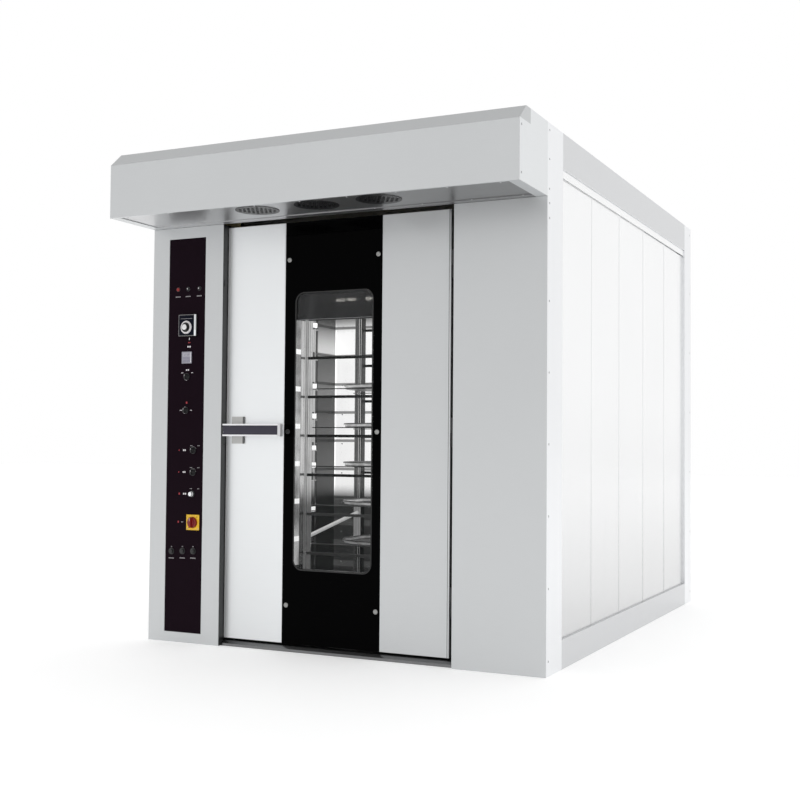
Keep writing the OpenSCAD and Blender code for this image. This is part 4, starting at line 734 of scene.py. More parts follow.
class OVEN_OT_finishes(bpy.types.Operator):
    """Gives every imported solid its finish, and rounds the folds of its sheets"""
    bl_idname = "oven.finishes"
    bl_label = "Finishes"

    def execute(self, context):
        c, s = context.scene.oven_colours, context.scene.oven_sizes
        end, hem, handle_end = SIDE - 0.0032, FACE_HIGH.x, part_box("handle_bar")[1].x
        rolled = (14, 14, 900)
        between_posts = (-0.95, 1.30)
        metal("Front sheet", c.front, 0.36, 0.75, rolled, 0.05, 0.3)
        # The hood sheet: the front sheets' colour made lighter, a lit copy of it; lighter at the hood's ends; darkened
        # on the chamfer along its top, a painted shade
        metal("Hood sheet", shade(c.front, 1.04), 0.36, 0.75, rolled, 0.05, 0.3, (
            ({"X": (None, -end)}, 1.19, 0.0004),
            ({"X": (end, None)}, 1.19, 0.0004),
            ({"Z": (CAD_HIGH.z - 0.061, None), "Y": (None, FRONT - 0.2)}, 0.73, 0.001)))
        # The column's return beside the door darkened almost to black: painted shade
        metal("Column sheet", c.front, 0.36, 0.75, rolled, 0.05, 0.3, (
            ({"X": (-0.5806, None), "Y": (FRONT + 0.0034, None)}, 0.09, 0.0002),))
        # The door skin: lighter left of the glass band, a painted light, with painted shade lower down; a painted
        # highlight along its left edge next to the column; a thin painted shadow line near the hinge edge
        metal("Door skin", c.front, 0.34, 0.75, rolled, 0.05, 0.3, (
            ({"X": (None, BAND_LOW.x)}, 1.48, 0.001),
            ({"X": (None, BAND_LOW.x), "Z": (None, 0.55)}, 0.84, 0.5),
            ({"X": (None, FACE_LOW.x + 0.020)}, 1.12, 0.012),
            ({"X": (None, FACE_LOW.x + 0.005)}, 1.15, 0.001),
            ({"X": (hem - 0.0098, hem - 0.0074)}, 0.20, 0.0003)))
        # The sides darker towards the floor: painted shade
        metal("Side sheet", c.side, 0.20, 0.8, (1, 26, 0.5), 0.08, 0.8, (({"Z": (None, 0.55)}, 0.68, 0.65),))
        metal("Frame", c.post, 0.30, 0.7, (500, 500, 9), 0.05, 0.3, (
            ({"Z": (2.05, None), "Y": between_posts}, 0.75, 0.001),
            ({"Z": (None, 0.12), "Y": between_posts}, 0.74, 0.001)))
        metal("Polished steel", c.steel, 0.16, 1.0, (9, 700, 700), 0.06, 0.4)
        # The hood's underside darker in two steps towards the right: painted shade
        metal("Hood lining", shade(c.steel, 0.90), 0.36, 0.9, (9, 300, 300), 0.06, 0.4, (
            ({"X": (-0.55, None)}, 0.74, 0.35),
            ({"X": (0.25, None)}, 0.58, 0.35)))
        # The door surround made dark: painted shade of the gap round the door
        metal("Surround steel", shade(c.steel, 0.32), 0.24, 1.0, (800, 9, 9), 0.06, 0.4)
        metal("Duct steel", shade(c.steel, 0.9), 0.30, 1.0, (9, 9, 600), 0.07, 0.6)
        metal("Handle steel", (0.88, 0.88, 0.90), 0.30, 0.35, (30, 30, 30), 0.04, 0.0, (
            ({"X": (handle_end - 0.0143, None)}, 0.78, 0.0004),))
        metal("Handle inlay", (0.052, 0.049, 0.066), 0.35, 0.3, (7, 7, 500), 0.06, specular_ior_level=0.2)
        # The rosette's right flank darkened: painted shade
        metal("Rosette steel", (0.52, 0.52, 0.51), 0.42, 0.7, (420, 420, 420), 0.10, 0.0, (
            ({"X": (-0.4815, None)}, 0.25, 0.001),))
        metal("Cap steel", (0.34, 0.34, 0.33), 0.35, 0.8, (60, 60, 60), 0.05)
        metal("Dark steel", (0.05, 0.05, 0.052), 0.35, 0.8, (60, 60, 60), 0.05)
        metal("Chrome", (0.82, 0.83, 0.85), 0.05, 1.0, (30, 30, 30), 0.02)
        metal("Dial metal", (0.85, 0.85, 0.86), 0.22, 1.0, (300, 300, 300), 0.05)
        metal("Brass", (0.62, 0.42, 0.16), 0.30, 1.0, (120, 120, 120), 0.10)
        metal("Screw steel", (0.55, 0.55, 0.57), 0.28, 1.0, (200, 200, 200), 0.06)
        painted_light_wall("Chamber wall")
        rack_steel("Rack steel")
        reveal_steel("Reveal steel")
        tray_steel("Tray steel")
        # The louvre hoods glow white: painted light
        glow("Louvre painted glow", (1, 1, 1), 0.85)
        paint("Drive paint", c.machine, 0.30)
        paint("Cast iron", (0.16, 0.165, 0.175), 0.5, 3.0, 0.3)
        paint("Black enamel", (0.012, 0.012, 0.013), 0.35)
        hot_steel("Hot steel", (0.42, 0.40, 0.38))
        fibres("Mineral wool", c.wool)
        plastic("Black plastic", (0.012, 0.012, 0.013), 0.28)
        plastic("Grey plastic", (0.33, 0.32, 0.37), 0.35)
        plastic("Timer keys", (0.26, 0.25, 0.31), 0.40)
        plastic("Timer face", (0.40, 0.39, 0.44), 0.25)
        plastic("Yellow plastic", (0.85, 0.52, 0.02), 0.30)
        plastic("Red plastic", (0.20, 0.003, 0.004), 0.30)
        plastic("Wheel plastic", (0.02, 0.02, 0.022), 0.45)
        plastic("Rubber", (0.012, 0.012, 0.012), 0.55, 4.0)
        plastic("White print", c.print_white, 0.5)
        plastic("Red print", c.print_red, 0.5)
        plastic("Dim print", shade(c.print_white, 0.42), 0.5)
        plastic("Navy face", (0.004, 0.005, 0.012), 0.15, specular_ior_level=0.05)
        plastic("Black glass", c.band, 0.03, 0.0, specular_ior_level=0.02)
        plastic("Fascia", c.fascia, 0.12, 0.3, specular_ior_level=0.03)
        glow("Red lens", (1.0, 0.03, 0.02), 0.07, (0.16, 0.003, 0.004))
        glow("Lamp strip", c.lamp, 9.0)
        plastic("Digits", (0.13, 0.12, 0.17), 0.3)
        glass("Clear glass", (0.02, 0.025, 0.025), 0.06, specular_ior_level=0.25)
        glass("Dark lens", (0.01, 0.01, 0.012), 1.0, 0.08)
        glass("Painted shade film", (0.012, 0.012, 0.013), 0.82, 0.10)
        for node, name in SOLID_FINISHES.items():
            for slot in NODES[node].material_slots:
                slot.material = bpy.data.materials[name]
        for node, share in FOLDED.items():
            solid = NODES[node]
            weld = solid.modifiers.new("Weld", "WELD")
            weld.merge_threshold = 0.00002
            flat = solid.modifiers.new("Flat", "DECIMATE")
            flat.decimate_type, flat.angle_limit = "DISSOLVE", math.radians(0.5)
            fold = solid.modifiers.new("Fold", "BEVEL")
            fold.width, fold.segments, fold.limit_method, fold.angle_limit = (
                s.fold * share, 2, "ANGLE", math.radians(40))
            fold.use_clamp_overlap = True
        return {"FINISHED"}


# ---- Fine pieces ----

def screw_head(radius):
    """A domed sheet screw with a round socket, upright at the origin"""
    return turned([(radius * 0.42, 0.0003), (radius * 0.42, radius * 0.34), (radius * 0.5, radius * 0.5),
                   (radius * 0.8, radius * 0.36), (radius, 0.0), (radius, -0.0004)], sides=12)


def flush_head(radius):
    """A countersunk screw head, level with the sheet round it, upright at the origin"""
    return turned([(radius * 0.42, -0.0008), (radius * 0.44, 0.0001), (radius * 0.94, 0.0001),
                   (radius, 0.0), (radius, -0.0008)], sides=12)


def screws(places, axis, radius, finish_name="Screw steel", head=screw_head):
    """Screws at places, their heads facing along axis"""
    return finish(copies(stand(head(radius), (0, 0, 0), axis), places), finish_name)


class OVEN_OT_sides(bpy.types.Operator):
    """Screws of the sides, the frame, the back and the hood's ends"""
    bl_idname = "oven.sides"
    bl_label = "Sides and back"

    def execute(self, context):
        s = context.scene.oven_sizes
        rows = [(-0.300, 2.116), (-0.300, 1.933), (0.025, 2.171), (0.025, 2.054), (0.025, 1.934),
                (0.027, 1.877), (0.027, 1.817)]
        rows += [(0.027, 0.06 + i * 0.285) for i in range(6)]
        rows += [(2.583, 0.06 + i * 0.35) for i in range(7)]
        made = []
        for side in (-1, 1):
            made += screws([(side * SIDE, FRONT + depth, z) for depth, z in rows],
                           (side, 0, 0), s.screw, "Dark steel", flush_head)
        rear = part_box("rear_service_panels")[1].y
        columns, heights = (-0.88, -0.45, -0.03, 0.03, 0.45, 0.88), (0.145, 0.60, 1.08, 1.56, 2.025)
        made += screws([(x, rear, z) for x in columns for z in heights], Y, s.screw, "Dark steel", flush_head)
        mount("case_screws", made, "oven", "frame_sheet")
        return {"FINISHED"}


class OVEN_OT_hood(bpy.types.Operator):
    """Screws along the hood's underside"""
    bl_idname = "oven.hood"
    bl_label = "Hood"

    def execute(self, context):
        s = context.scene.oven_sizes
        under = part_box("hood_underside")[0].z
        columns, rows = [-0.88 + i * 0.22 for i in range(9)], (FRONT - 0.298, FRONT - 0.05)
        made = screws([(x, y, under) for x in columns for y in rows], (0, 0, -1), s.screw * 0.8)
        mount("hood_screws", made, "oven", "polished_steel")
        return {"FINISHED"}


# Rows of blocks in the place of printed words: for each node their tone, x and z from its middle, width, height
# (None for a printed line) and number of blocks
LABELS = {
    **{f"push_button_{i}": (("dim", 0, -0.032, 0.030, 0.0050, 5), ("dim", 0, 0.020, 0.008, 0.0040, 2))
       for i in BUTTONS},
    "temperature_controller": (("white", 0.006, -0.062, 0.005, 0.010, 1), ("red", 0.006, -0.079, 0.014, 0.0050, 2),
                               ("white", 0.006, -0.098, 0.022, 0.0070, 2)),
    "selector_1": (("white", -0.026, 0.018, 0.014, 0.0030, 2), ("white", 0.030, 0.018, 0.012, 0.0030, 2),
                   ("white", 0.004, 0.031, 0.020, 0.0065, 2)),
    "selector_2": (("white", -0.026, 0, 0.014, 0.0030, 2), ("white", 0.030, 0, 0.012, 0.0030, 2),
                   ("red", 0.006, 0.035, 0.012, 0.0090, 1)),
    **{f"selector_{i}": (("white", -0.048, 0, 0.018, 0.0075, 2), ("dim", -0.010, 0.021, 0.014, 0.0032, 2),
                         ("dim", 0.030, 0.021, 0.014, 0.0032, 2), ("red", -0.078, 0, 0.006, 0.0060, 1))
       for i in SELECTORS[2:]},
    "key_switch": (("white", -0.040, 0, 0.020, 0.0075, 2), ("dim", -0.006, 0.024, 0.014, 0.0032, 2),
                   ("dim", 0.034, 0.024, 0.012, 0.0032, 2), ("red", -0.070, 0, 0.010, 0.0090, 1)),
    "isolator_plate": (("white", -0.058, 0, 0.016, None, 1), ("red", -0.080, 0, 0.010, 0.0090, 1)),
}

# Scales round the selectors: start and end in degrees from the top, and the number of steps between dots
SCALES = {"selector_1": (180, 300, 0), "selector_2": (200, 350, 0), "selector_3": (-100, 60, 7),
          "selector_4": (-70, 70, 7)}


class OVEN_OT_fascia(bpy.types.Operator):
    """Printed marks on the fascia"""
    bl_idname = "oven.fascia"
    bl_label = "Fascia"

    def execute(self, context):
        line = context.scene.oven_sizes.print_line
        rows = {"white": [], "dim": [], "red": []}

        def label(tone, x, z, width, tall, parts):
            """A row of short blocks in the place of a printed word"""
            part = width / parts
            rows[tone] += [(x - width / 2 + i * part, z - tall / 2, x - width / 2 + (i + 0.7) * part, z + tall / 2)
                           for i in range(parts)]

        for x, _ in LAMPS:
            label("dim", x, 1.582, 0.028, 0.0050, 5)
        for node, words in LABELS.items():
            at = middle(node)
            for tone, right, up, width, tall, parts in words:
                label(tone, at.x + right, at.z + up, width, tall or line, parts)
        marks = []
        for node, (start, end, dots) in SCALES.items():
            at = middle(node)
            marks += finish(ring_arc((at.x, FASCIA_Y, at.z), 0.0165, 0.0022, start, end, dots), "White print")
        for tone, shapes in rows.items():
            marks += printed(shapes, f"{tone.title()} print")
        mount("fascia_print", marks, "oven", "fascia")
        return {"FINISHED"}


def pointer_knob(node, body, slot):
    """A round knob with a finger bar and a white line, in the place of its plain solid"""
    low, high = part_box(node)
    at, front = (low + high) / 2, low.y
    radius = (high.x - low.x) / 2
    deep = FASCIA_Y - front
    skirt = ahead([(radius, 0), (radius, deep * 0.18), (radius * 0.93, deep * 0.26), (radius * 0.80, deep * 0.36),
                   (radius * 0.76, deep * 0.62), (radius * 0.70, deep * 0.70)], at, FASCIA_Y - 0.0004)
    grip = block((at.x - radius * 0.24, front, at.z - radius * 0.86),
                 (at.x + radius * 0.24, front + deep * 0.72, at.z + radius * 0.86), radius * 0.10, 3)
    line = block((at.x - radius * 0.05, front - 0.00005, at.z + radius * 0.15),
                 (at.x + radius * 0.05, front + 0.001, at.z + radius * 0.74))
    stem = ahead([(0.004, 0), (0.004, 0.018)], at, STEM_BACK, 16)
    pieces = finish([skirt, grip, stem], "Black plastic") + finish(line, "White print")
    return mount(f"{node}_grip", pieces, body, slot, node)


class OVEN_OT_switches(bpy.types.Operator):
    """Selector knobs, push buttons, key switch and isolator"""
    bl_idname = "oven.switches"
    bl_label = "Switches"

    def execute(self, context):
        for number in SELECTORS:
            pointer_knob(f"selector_{number}", f"selector_knob_{number}", "black_plastic")
        rings = []
        for number in BUTTONS:
            low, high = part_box(f"push_button_{number}")
            at, radius = (low + high) / 2, (high.x - low.x) / 2
            deep = FASCIA_Y - low.y
            cap = ahead([(radius, 0), (radius, deep * 0.78), (radius * 0.93, deep * 0.93), (radius * 0.6, deep * 0.97),
                         (radius * 0.2, deep)], at, FASCIA_Y - 0.0002)
            stem = ahead([(0.0045, 0), (0.0045, 0.018)], at, FASCIA_Y + 0.018, 16)
            mount(f"button_cap_{number}", finish([cap, stem], "Black plastic"), f"button_{number}", "black_plastic",
                  f"push_button_{number}")
            rings.append(ahead([(radius + 0.0006, 0), (radius + 0.0034, 0), (radius + 0.0034, 0.0012),
                                (radius + 0.0026, 0.0021), (radius + 0.0012, 0.0021), (radius + 0.0006, 0.0014)],
                               at, FASCIA_Y))
        for ring in rings:
            shape(ring, (bpy.ops.mesh.delete, {"type": "FACE"}), faces=lambda face: len(face.verts) > 8)
        mount("button_rings", finish(rings, "Chrome"), "oven", "chrome")

        low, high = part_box("key_switch")
        at, radius, deep = (low + high) / 2, (high.x - low.x) / 2, FASCIA_Y - low.y
        barrel = ahead([(radius, 0), (radius, deep * 0.45), (radius * 0.93, deep * 0.55), (radius * 0.82, deep * 0.6),
                        (radius * 0.80, deep * 0.97), (radius * 0.74, deep)], at, FASCIA_Y - 0.0003)
        slot = block((at.x - 0.0011, low.y - 0.00005, at.z - 0.0062), (at.x + 0.0011, low.y + 0.001, at.z + 0.0062))
        stem = ahead([(0.004, 0), (0.004, 0.018)], at, STEM_BACK, 16)
        mount("key_barrel", finish([barrel, stem], "Chrome") + finish(slot, "Black plastic"),
              "key_knob", "chrome", "key_switch")

        low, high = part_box("isolator_knob")
        at, radius = (low + high) / 2, (high.x - low.x) / 2
        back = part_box("isolator_plate")[0].y
        deep, seat = back - low.y, back - 0.0004
        base = ahead([(radius, 0), (radius, deep * 0.22), (radius * 0.95, deep * 0.34), (radius * 0.70, deep * 0.42),
                      (radius * 0.66, deep * 0.60)], at, seat, 48)
        lobe = turned([(radius * 0.16, 0), (radius * 0.16, deep * 0.30), (radius * 0.12, deep * 0.36)],
                      (at.x + radius * 0.86, seat, at.z), FORWARD, 12)
        lobes = about(lobe, Y, at, 10)
        grip = block((at.x - radius * 0.22, low.y, at.z - radius * 0.93),
                     (at.x + radius * 0.22, low.y + deep * 0.7, at.z + radius * 0.93), radius * 0.09, 3)
        line = block((at.x - 0.0011, low.y - 0.00005, at.z + radius * 0.3),
                     (at.x + 0.0011, low.y + 0.001, at.z + radius * 0.86))
        stem = ahead([(0.005, 0), (0.005, 0.020)], at, STEM_BACK, 16)
        mount("isolator_grip", finish([base, grip, stem, *lobes], "Red plastic") + finish(line, "White print"),
              "isolator", "red_plastic", "isolator_knob")
        at = middle("isolator_plate")
        marks = [figures("0", (at.x + 0.024, back, at.z + 0.025), 0.011, "Black plastic"),
                 figures("I", (at.x - 0.027, back, at.z + 0.024), 0.011, "Black plastic")]
        marks += screws([(at.x + 0.029, back, at.z - 0.029), (at.x - 0.029, back, at.z - 0.029)], FORWARD, 0.0026)
        mount("isolator_marks", marks, "oven", "black_plastic")
        return {"FINISHED"}


class OVEN_OT_instruments(bpy.types.Operator):
    """Lamps, thermostat and timer"""
    bl_idname = "oven.instruments"
    bl_label = "Instruments"

    def execute(self, context):
        low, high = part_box("indicator_lamps")
        front, z = low.y, (low.z + high.z) / 2
        deep = FASCIA_Y - front
        lamps = []
        for x, lens in LAMPS:
            at = Vector((x, FASCIA_Y, z))
            bezel = ahead([(0.0090, 0), (0.0108, 0), (0.0108, deep * 0.25), (0.0100, deep * 0.42),
                           (0.0088, deep * 0.42), (0.0084, deep * 0.2)], at, FASCIA_Y, 36)
            dome = ahead([(0.0080, 0.0002), (0.0080, deep * 0.5), (0.0074, deep * 0.75), (0.0058, deep * 0.93),
                          (0.0028, deep)], at, FASCIA_Y, 36)
            stem = ahead([(0.0062, 0), (0.0062, 0.024)], at, FASCIA_Y + 0.0255, 20)
            lamps += finish(bezel, "Black plastic") + finish(dome, lens) + finish(stem, "Grey plastic")
            if lens == "Dark lens":
                # A white mark on each dark lens: a painted highlight
                painted_glint = block((x - 0.003, front - 0.0001, z - 0.002), (x + 0.0005, front + 0.0006, z + 0.004))
                lamps += finish(painted_glint, "White print")
        mount("lamp_lenses", lamps, "oven", "red_plastic", "indicator_lamps")
        self.set_dial_face()
        self.set_display()
        return {"FINISHED"}

    def set_dial_face(self):
        """The square face with its ring, and the dial's cap"""
        low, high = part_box("temperature_controller")
        front, dial = low.y, middle("dial_knob")
        edge = rim((low.x + 0.001, front, low.z + 0.001), (high.x - 0.001, front, high.z - 0.001),
                   0.002, 0.0014, 0.0005, 3)
        face = block((low.x + 0.005, front - 0.0004, low.z + 0.005),
                     (high.x - 0.005, front, high.z - 0.005), 0.0003)
        strip = block((high.x - 0.013, front - 0.0009, low.z + 0.001),
                      (high.x - 0.003, front - 0.0002, high.z - 0.001), 0.0003)
        ring = ring_arc(Vector((dial.x, front - 0.0005, dial.z)), 0.0285, 0.0030, 0, 360)
        line = block((low.x + 0.012, front - 0.0007, high.z - 0.020),
                     (high.x - 0.024, front - 0.0002, high.z - 0.0185))
        pieces = finish(edge, "Dim print") + finish(face, "Navy face") + finish(strip, "Chrome")
        pieces += finish(ring, "White print") + finish(line, "Dim print")
        mount("thermostat_face", pieces, "oven", "black_plastic")

        low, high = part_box("dial_knob")
        at, radius, deep = (low + high) / 2, (high.x - low.x) / 2, front - low.y
        seat = front - 0.0008
        skirt = ahead([(radius, 0), (radius, deep * 0.16), (radius * 0.97, deep * 0.22), (radius * 0.90, deep * 0.24)],
                      at, seat, 64)
        dark = ahead([(radius * 0.84, 0), (radius * 0.80, deep * 0.06)], at, seat - deep * 0.24, 64)
        disc = ahead([(radius * 0.50, 0), (radius * 0.49, deep * 0.52), (radius * 0.46, deep * 0.64),
                      (radius * 0.40, deep * 0.68), (radius * 0.2, deep * 0.665)], at, seat - deep * 0.28, 64)
        flute = turned([(radius * 0.045, 0), (radius * 0.04, deep * 0.5), (radius * 0.02, deep * 0.55)],
                       (at.x + radius * 0.50, seat - deep * 0.28, at.z), FORWARD, 10)
        flutes = about(flute, Y, at, 24)
        mark = block((at.x - 0.0008, low.y + 0.0002, at.z + radius * 0.20),
                     (at.x + 0.0008, low.y + 0.0022, at.z + radius * 0.42))
        stem = ahead([(0.004, 0), (0.004, 0.020)], at, front + 0.0206, 16)
        sides = ahead([(radius * 0.515, 0), (radius * 0.505, deep * 0.46)], at, seat - deep * 0.28, 48)
        pieces = finish([skirt], "White print") + finish([dark, mark, sides, *flutes], "Black plastic")
        mount("dial_cap", pieces + finish([disc, stem], "Dial metal"), "thermostat_dial", "dial_metal", "dial_knob")

    def set_display(self):
        """The small display with its keys and figures"""
        low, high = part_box("timer_display")
        front, x0, x1, z0, z1 = low.y, low.x, high.x, low.z, high.z
        back = front + 0.0002
        edge = rim((x0 + 0.001, front, z0 + 0.001), (x1 - 0.001, front, z1 - 0.001), 0.003, 0.002, 0.0006, 4)
        face = block((x0 + 0.006, front - 0.0005, z0 + 0.031), (x1 - 0.006, back, z1 - 0.006), 0.0004)
        band = block((x0 + 0.006, front - 0.0004, z0 + 0.019), (x1 - 0.006, back, z0 + 0.030), 0.0004)
        # A bright metal strip along the right edge: a painted highlight for the lit side of the case
        strip = block((x1 - 0.0055, front - 0.0007, z0 + 0.004), (x1 - 0.0025, back, z1 - 0.004), 0.0004)
        pieces = finish(edge, "Grey plastic") + finish(face, "Timer face")
        pieces += finish(band, "Timer keys") + finish(strip, "Dial metal")
        for key in range(4):
            x = x0 + 0.0065 + key * 0.0105
            button = block((x, front - 0.0011, z0 + 0.006), (x + 0.0090, back, z0 + 0.0165), 0.0008, 3)
            pieces += finish(button, "Timer keys")
        # The seven bars of a figure: a to g, each with its column and row
        bars = {"a": (0, 2), "g": (0, 1), "d": (0, 0), "f": (0, 1.5), "b": (1, 1.5), "e": (0, 0.5), "c": (1, 0.5)}
        one_two_three_eight = ("bc", "abged", "abgcd", "abcdefg")
        width, height, bar = 0.0052, 0.0100, 0.0009
        for number, shown in enumerate(one_two_three_eight):
            x, z = x0 + 0.0095 + number * 0.0088, z0 + 0.0335
            for segment in shown:
                column, row = bars[segment]
                if segment in "agd":
                    box = (x + bar, z + row * height / 2 - bar / 2, x + width - bar, z + row * height / 2 + bar / 2)
                else:
                    side = x + column * width - bar / 2
                    box = (side, z + (row - 0.5) * height / 2 + bar * 0.7,
                           side + bar, z + (row + 0.5) * height / 2 - bar * 0.7)
                lit = block((box[0], front - 0.0008, box[1]), (box[2], front - 0.0004, box[3]))
                pieces += finish(lit, "Digits")
        mount("timer_face", pieces, "oven", "grey_plastic")


class OVEN_OT_door(bpy.types.Operator):
    """Window bead, a dark film of painted shade at the window's top, cap screws, trims, handle inlay and gasket lips
    """
    bl_idname = "oven.door"
    bl_label = "Door"

    def execute(self, context):
        s = context.scene.oven_sizes
        front, corner = BAND_LOW.y, 0.045
        bead = rim((PANE_LOW.x, front + 0.0008, PANE_LOW.z), (PANE_HIGH.x, front + 0.0008, PANE_HIGH.z),
                   corner, s.bead, 0.0016, 10)
        modify(bead, "BEVEL", width=0.0006, segments=2, limit_method="ANGLE")
        mount("window_bead", finish(smooth(bead), "Rubber"), "door", "gasket_rubber")
        # A dark film inside the window's top, a steel edge below it: painted shade of the chamber's upper part
        inner_face, shade_strip_low = FRONT + 0.0472, PANE_HIGH.z - s.tint
        strip = plate(Vector((PANE_LOW.x + 0.0005, inner_face, shade_strip_low)),
                      Vector((PANE_HIGH.x - 0.0005, inner_face, PANE_HIGH.z - 0.0005)), corner - 0.001, 10,
                      lambda point: point.co.z > PANE_HIGH.z - 0.01)
        shape(strip, (bpy.ops.mesh.extrude_region_move, {"TRANSFORM_OT_translate": {"value": (0, -0.001, 0)}}),
              faces=lambda face: True)
        edge = block((PANE_LOW.x + 0.001, FRONT + 0.0462, shade_strip_low - 0.0035),
                     (PANE_HIGH.x - 0.001, inner_face, shade_strip_low), 0.0004)
        mount("painted_shade_strip", finish(outward(strip), "Painted shade film") + finish(edge, "Surround steel"),
              "door", "clear_glass")
        cap = turned([(s.cap, 0), (s.cap, 0.0012), (s.cap * 0.96, 0.0022), (s.cap * 0.78, 0.0036),
                      (s.cap * 0.60, 0.0042), (s.cap * 0.42, 0.0034), (s.cap * 0.12, 0.0034)],
                     (0, 0, 0), FORWARD, 40)
        columns, rows = (-0.249, 0.193), (0.200, 0.962, 1.724)
        made = finish(copies(cap, [(x, front, z) for x in columns for z in rows]), "Cap steel")
        # The cap screw at the handle's end made black: painted shade
        finish(made[1], "Black plastic")
        mount("cap_screws", made, "door", "chrome", "glass_screws")
        low, high = FACE_LOW.z + 0.002, FACE_HIGH.z - 0.002
        trim = block((BAND_LOW.x - 0.0055, front - 0.0012, low), (BAND_LOW.x - 0.0003, front, high), 0.0005)
        fold = block((FACE_HIGH.x - 0.0072, front - 0.0010, low), (FACE_HIGH.x - 0.0005, front, high), 0.0005)
        mount("door_trims", finish([trim], "Handle steel") + finish(fold, "Front sheet"), "door", "front_sheet")

        low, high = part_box("handle_bar")
        tall, rim_width = 0.055, 0.0072
        inlay = block((low.x + 0.0005, low.y + 0.0033, high.z - tall + rim_width),
                      (high.x - 0.0145, low.y + 0.0042, high.z - rim_width), 0.0006)
        mount("handle_inlay", finish(inlay, "Handle inlay"), "handle", "black_plastic")
        low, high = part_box("door_gasket")
        lips, y = [], high.y - 0.0025
        for inset in (0.004, 0.012):
            left, right, under, over = low.x + inset, high.x - inset, low.z + inset, high.z - inset
            lips.append(tube([(left, y, under), (right, y, under), (right, y, over), (left, y, over)],
                             s.lip, 8, True, 0.012))
        mount("gasket_lips", finish(lips, "Rubber"), "door", "gasket_rubber")
        return {"FINISHED"}


class OVEN_OT_chamber(bpy.types.Operator):
    """Rivets and louvre hoods of the air ducts, and the clips of the lamp strip"""
    bl_idname = "oven.chamber"
    bl_label = "Chamber"

    def execute(self, context):
        rivet = context.scene.oven_sizes.rivet
        left, right, back = DUCT_LOW.x + 0.003, DUCT_HIGH.x - 0.003, DUCT_HIGH.y - 0.0032
        rivets, hoods = [], []
        rows = [0.12 + i * 0.158 for i in range(12)]
        for x, way in ((left, 1), (right, -1)):
            rivets += screws([(x, FRONT + depth, z) for depth in (0.890, 0.976) for z in rows], (way, 0, 0), rivet)
        rivets += screws([(x, back, z) for x in (-0.600, -0.310, 0.270, 0.560) for z in rows], FORWARD, rivet)
        mount("chamber_rivets", rivets, "oven", "chamber_steel")
        sunk, proud = 0.0006, 0.0050
        for first, last in ((left - sunk, left + proud), (right - proud, right + sunk)):
            hood = block((first, FRONT + 0.896, -0.013), (last, FRONT + 0.970, 0.013), 0.002, 3)
            hoods += copies(hood, [(0, 0, z) for z in (1.532, 1.211, 1.054, 0.886, 0.797, 0.567)])
        # The louvre hoods take the glowing finish: painted light
        mount("louvre_hoods", finish(hoods, "Louvre painted glow"), "oven", "chamber_steel")
        low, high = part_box("interior_lamp")
        clip = block((-0.006, low.y - 0.0015, low.z - 0.004), (0.006, low.y + 0.006, high.z + 0.004), 0.001)
        places = [(low.x + 0.06 + i * (high.x - low.x - 0.12) / 4, 0, 0) for i in range(5)]
        mount("lamp_clips", finish(copies(clip, places), "Screw steel"), "oven", "chamber_steel")
        return {"FINISHED"}


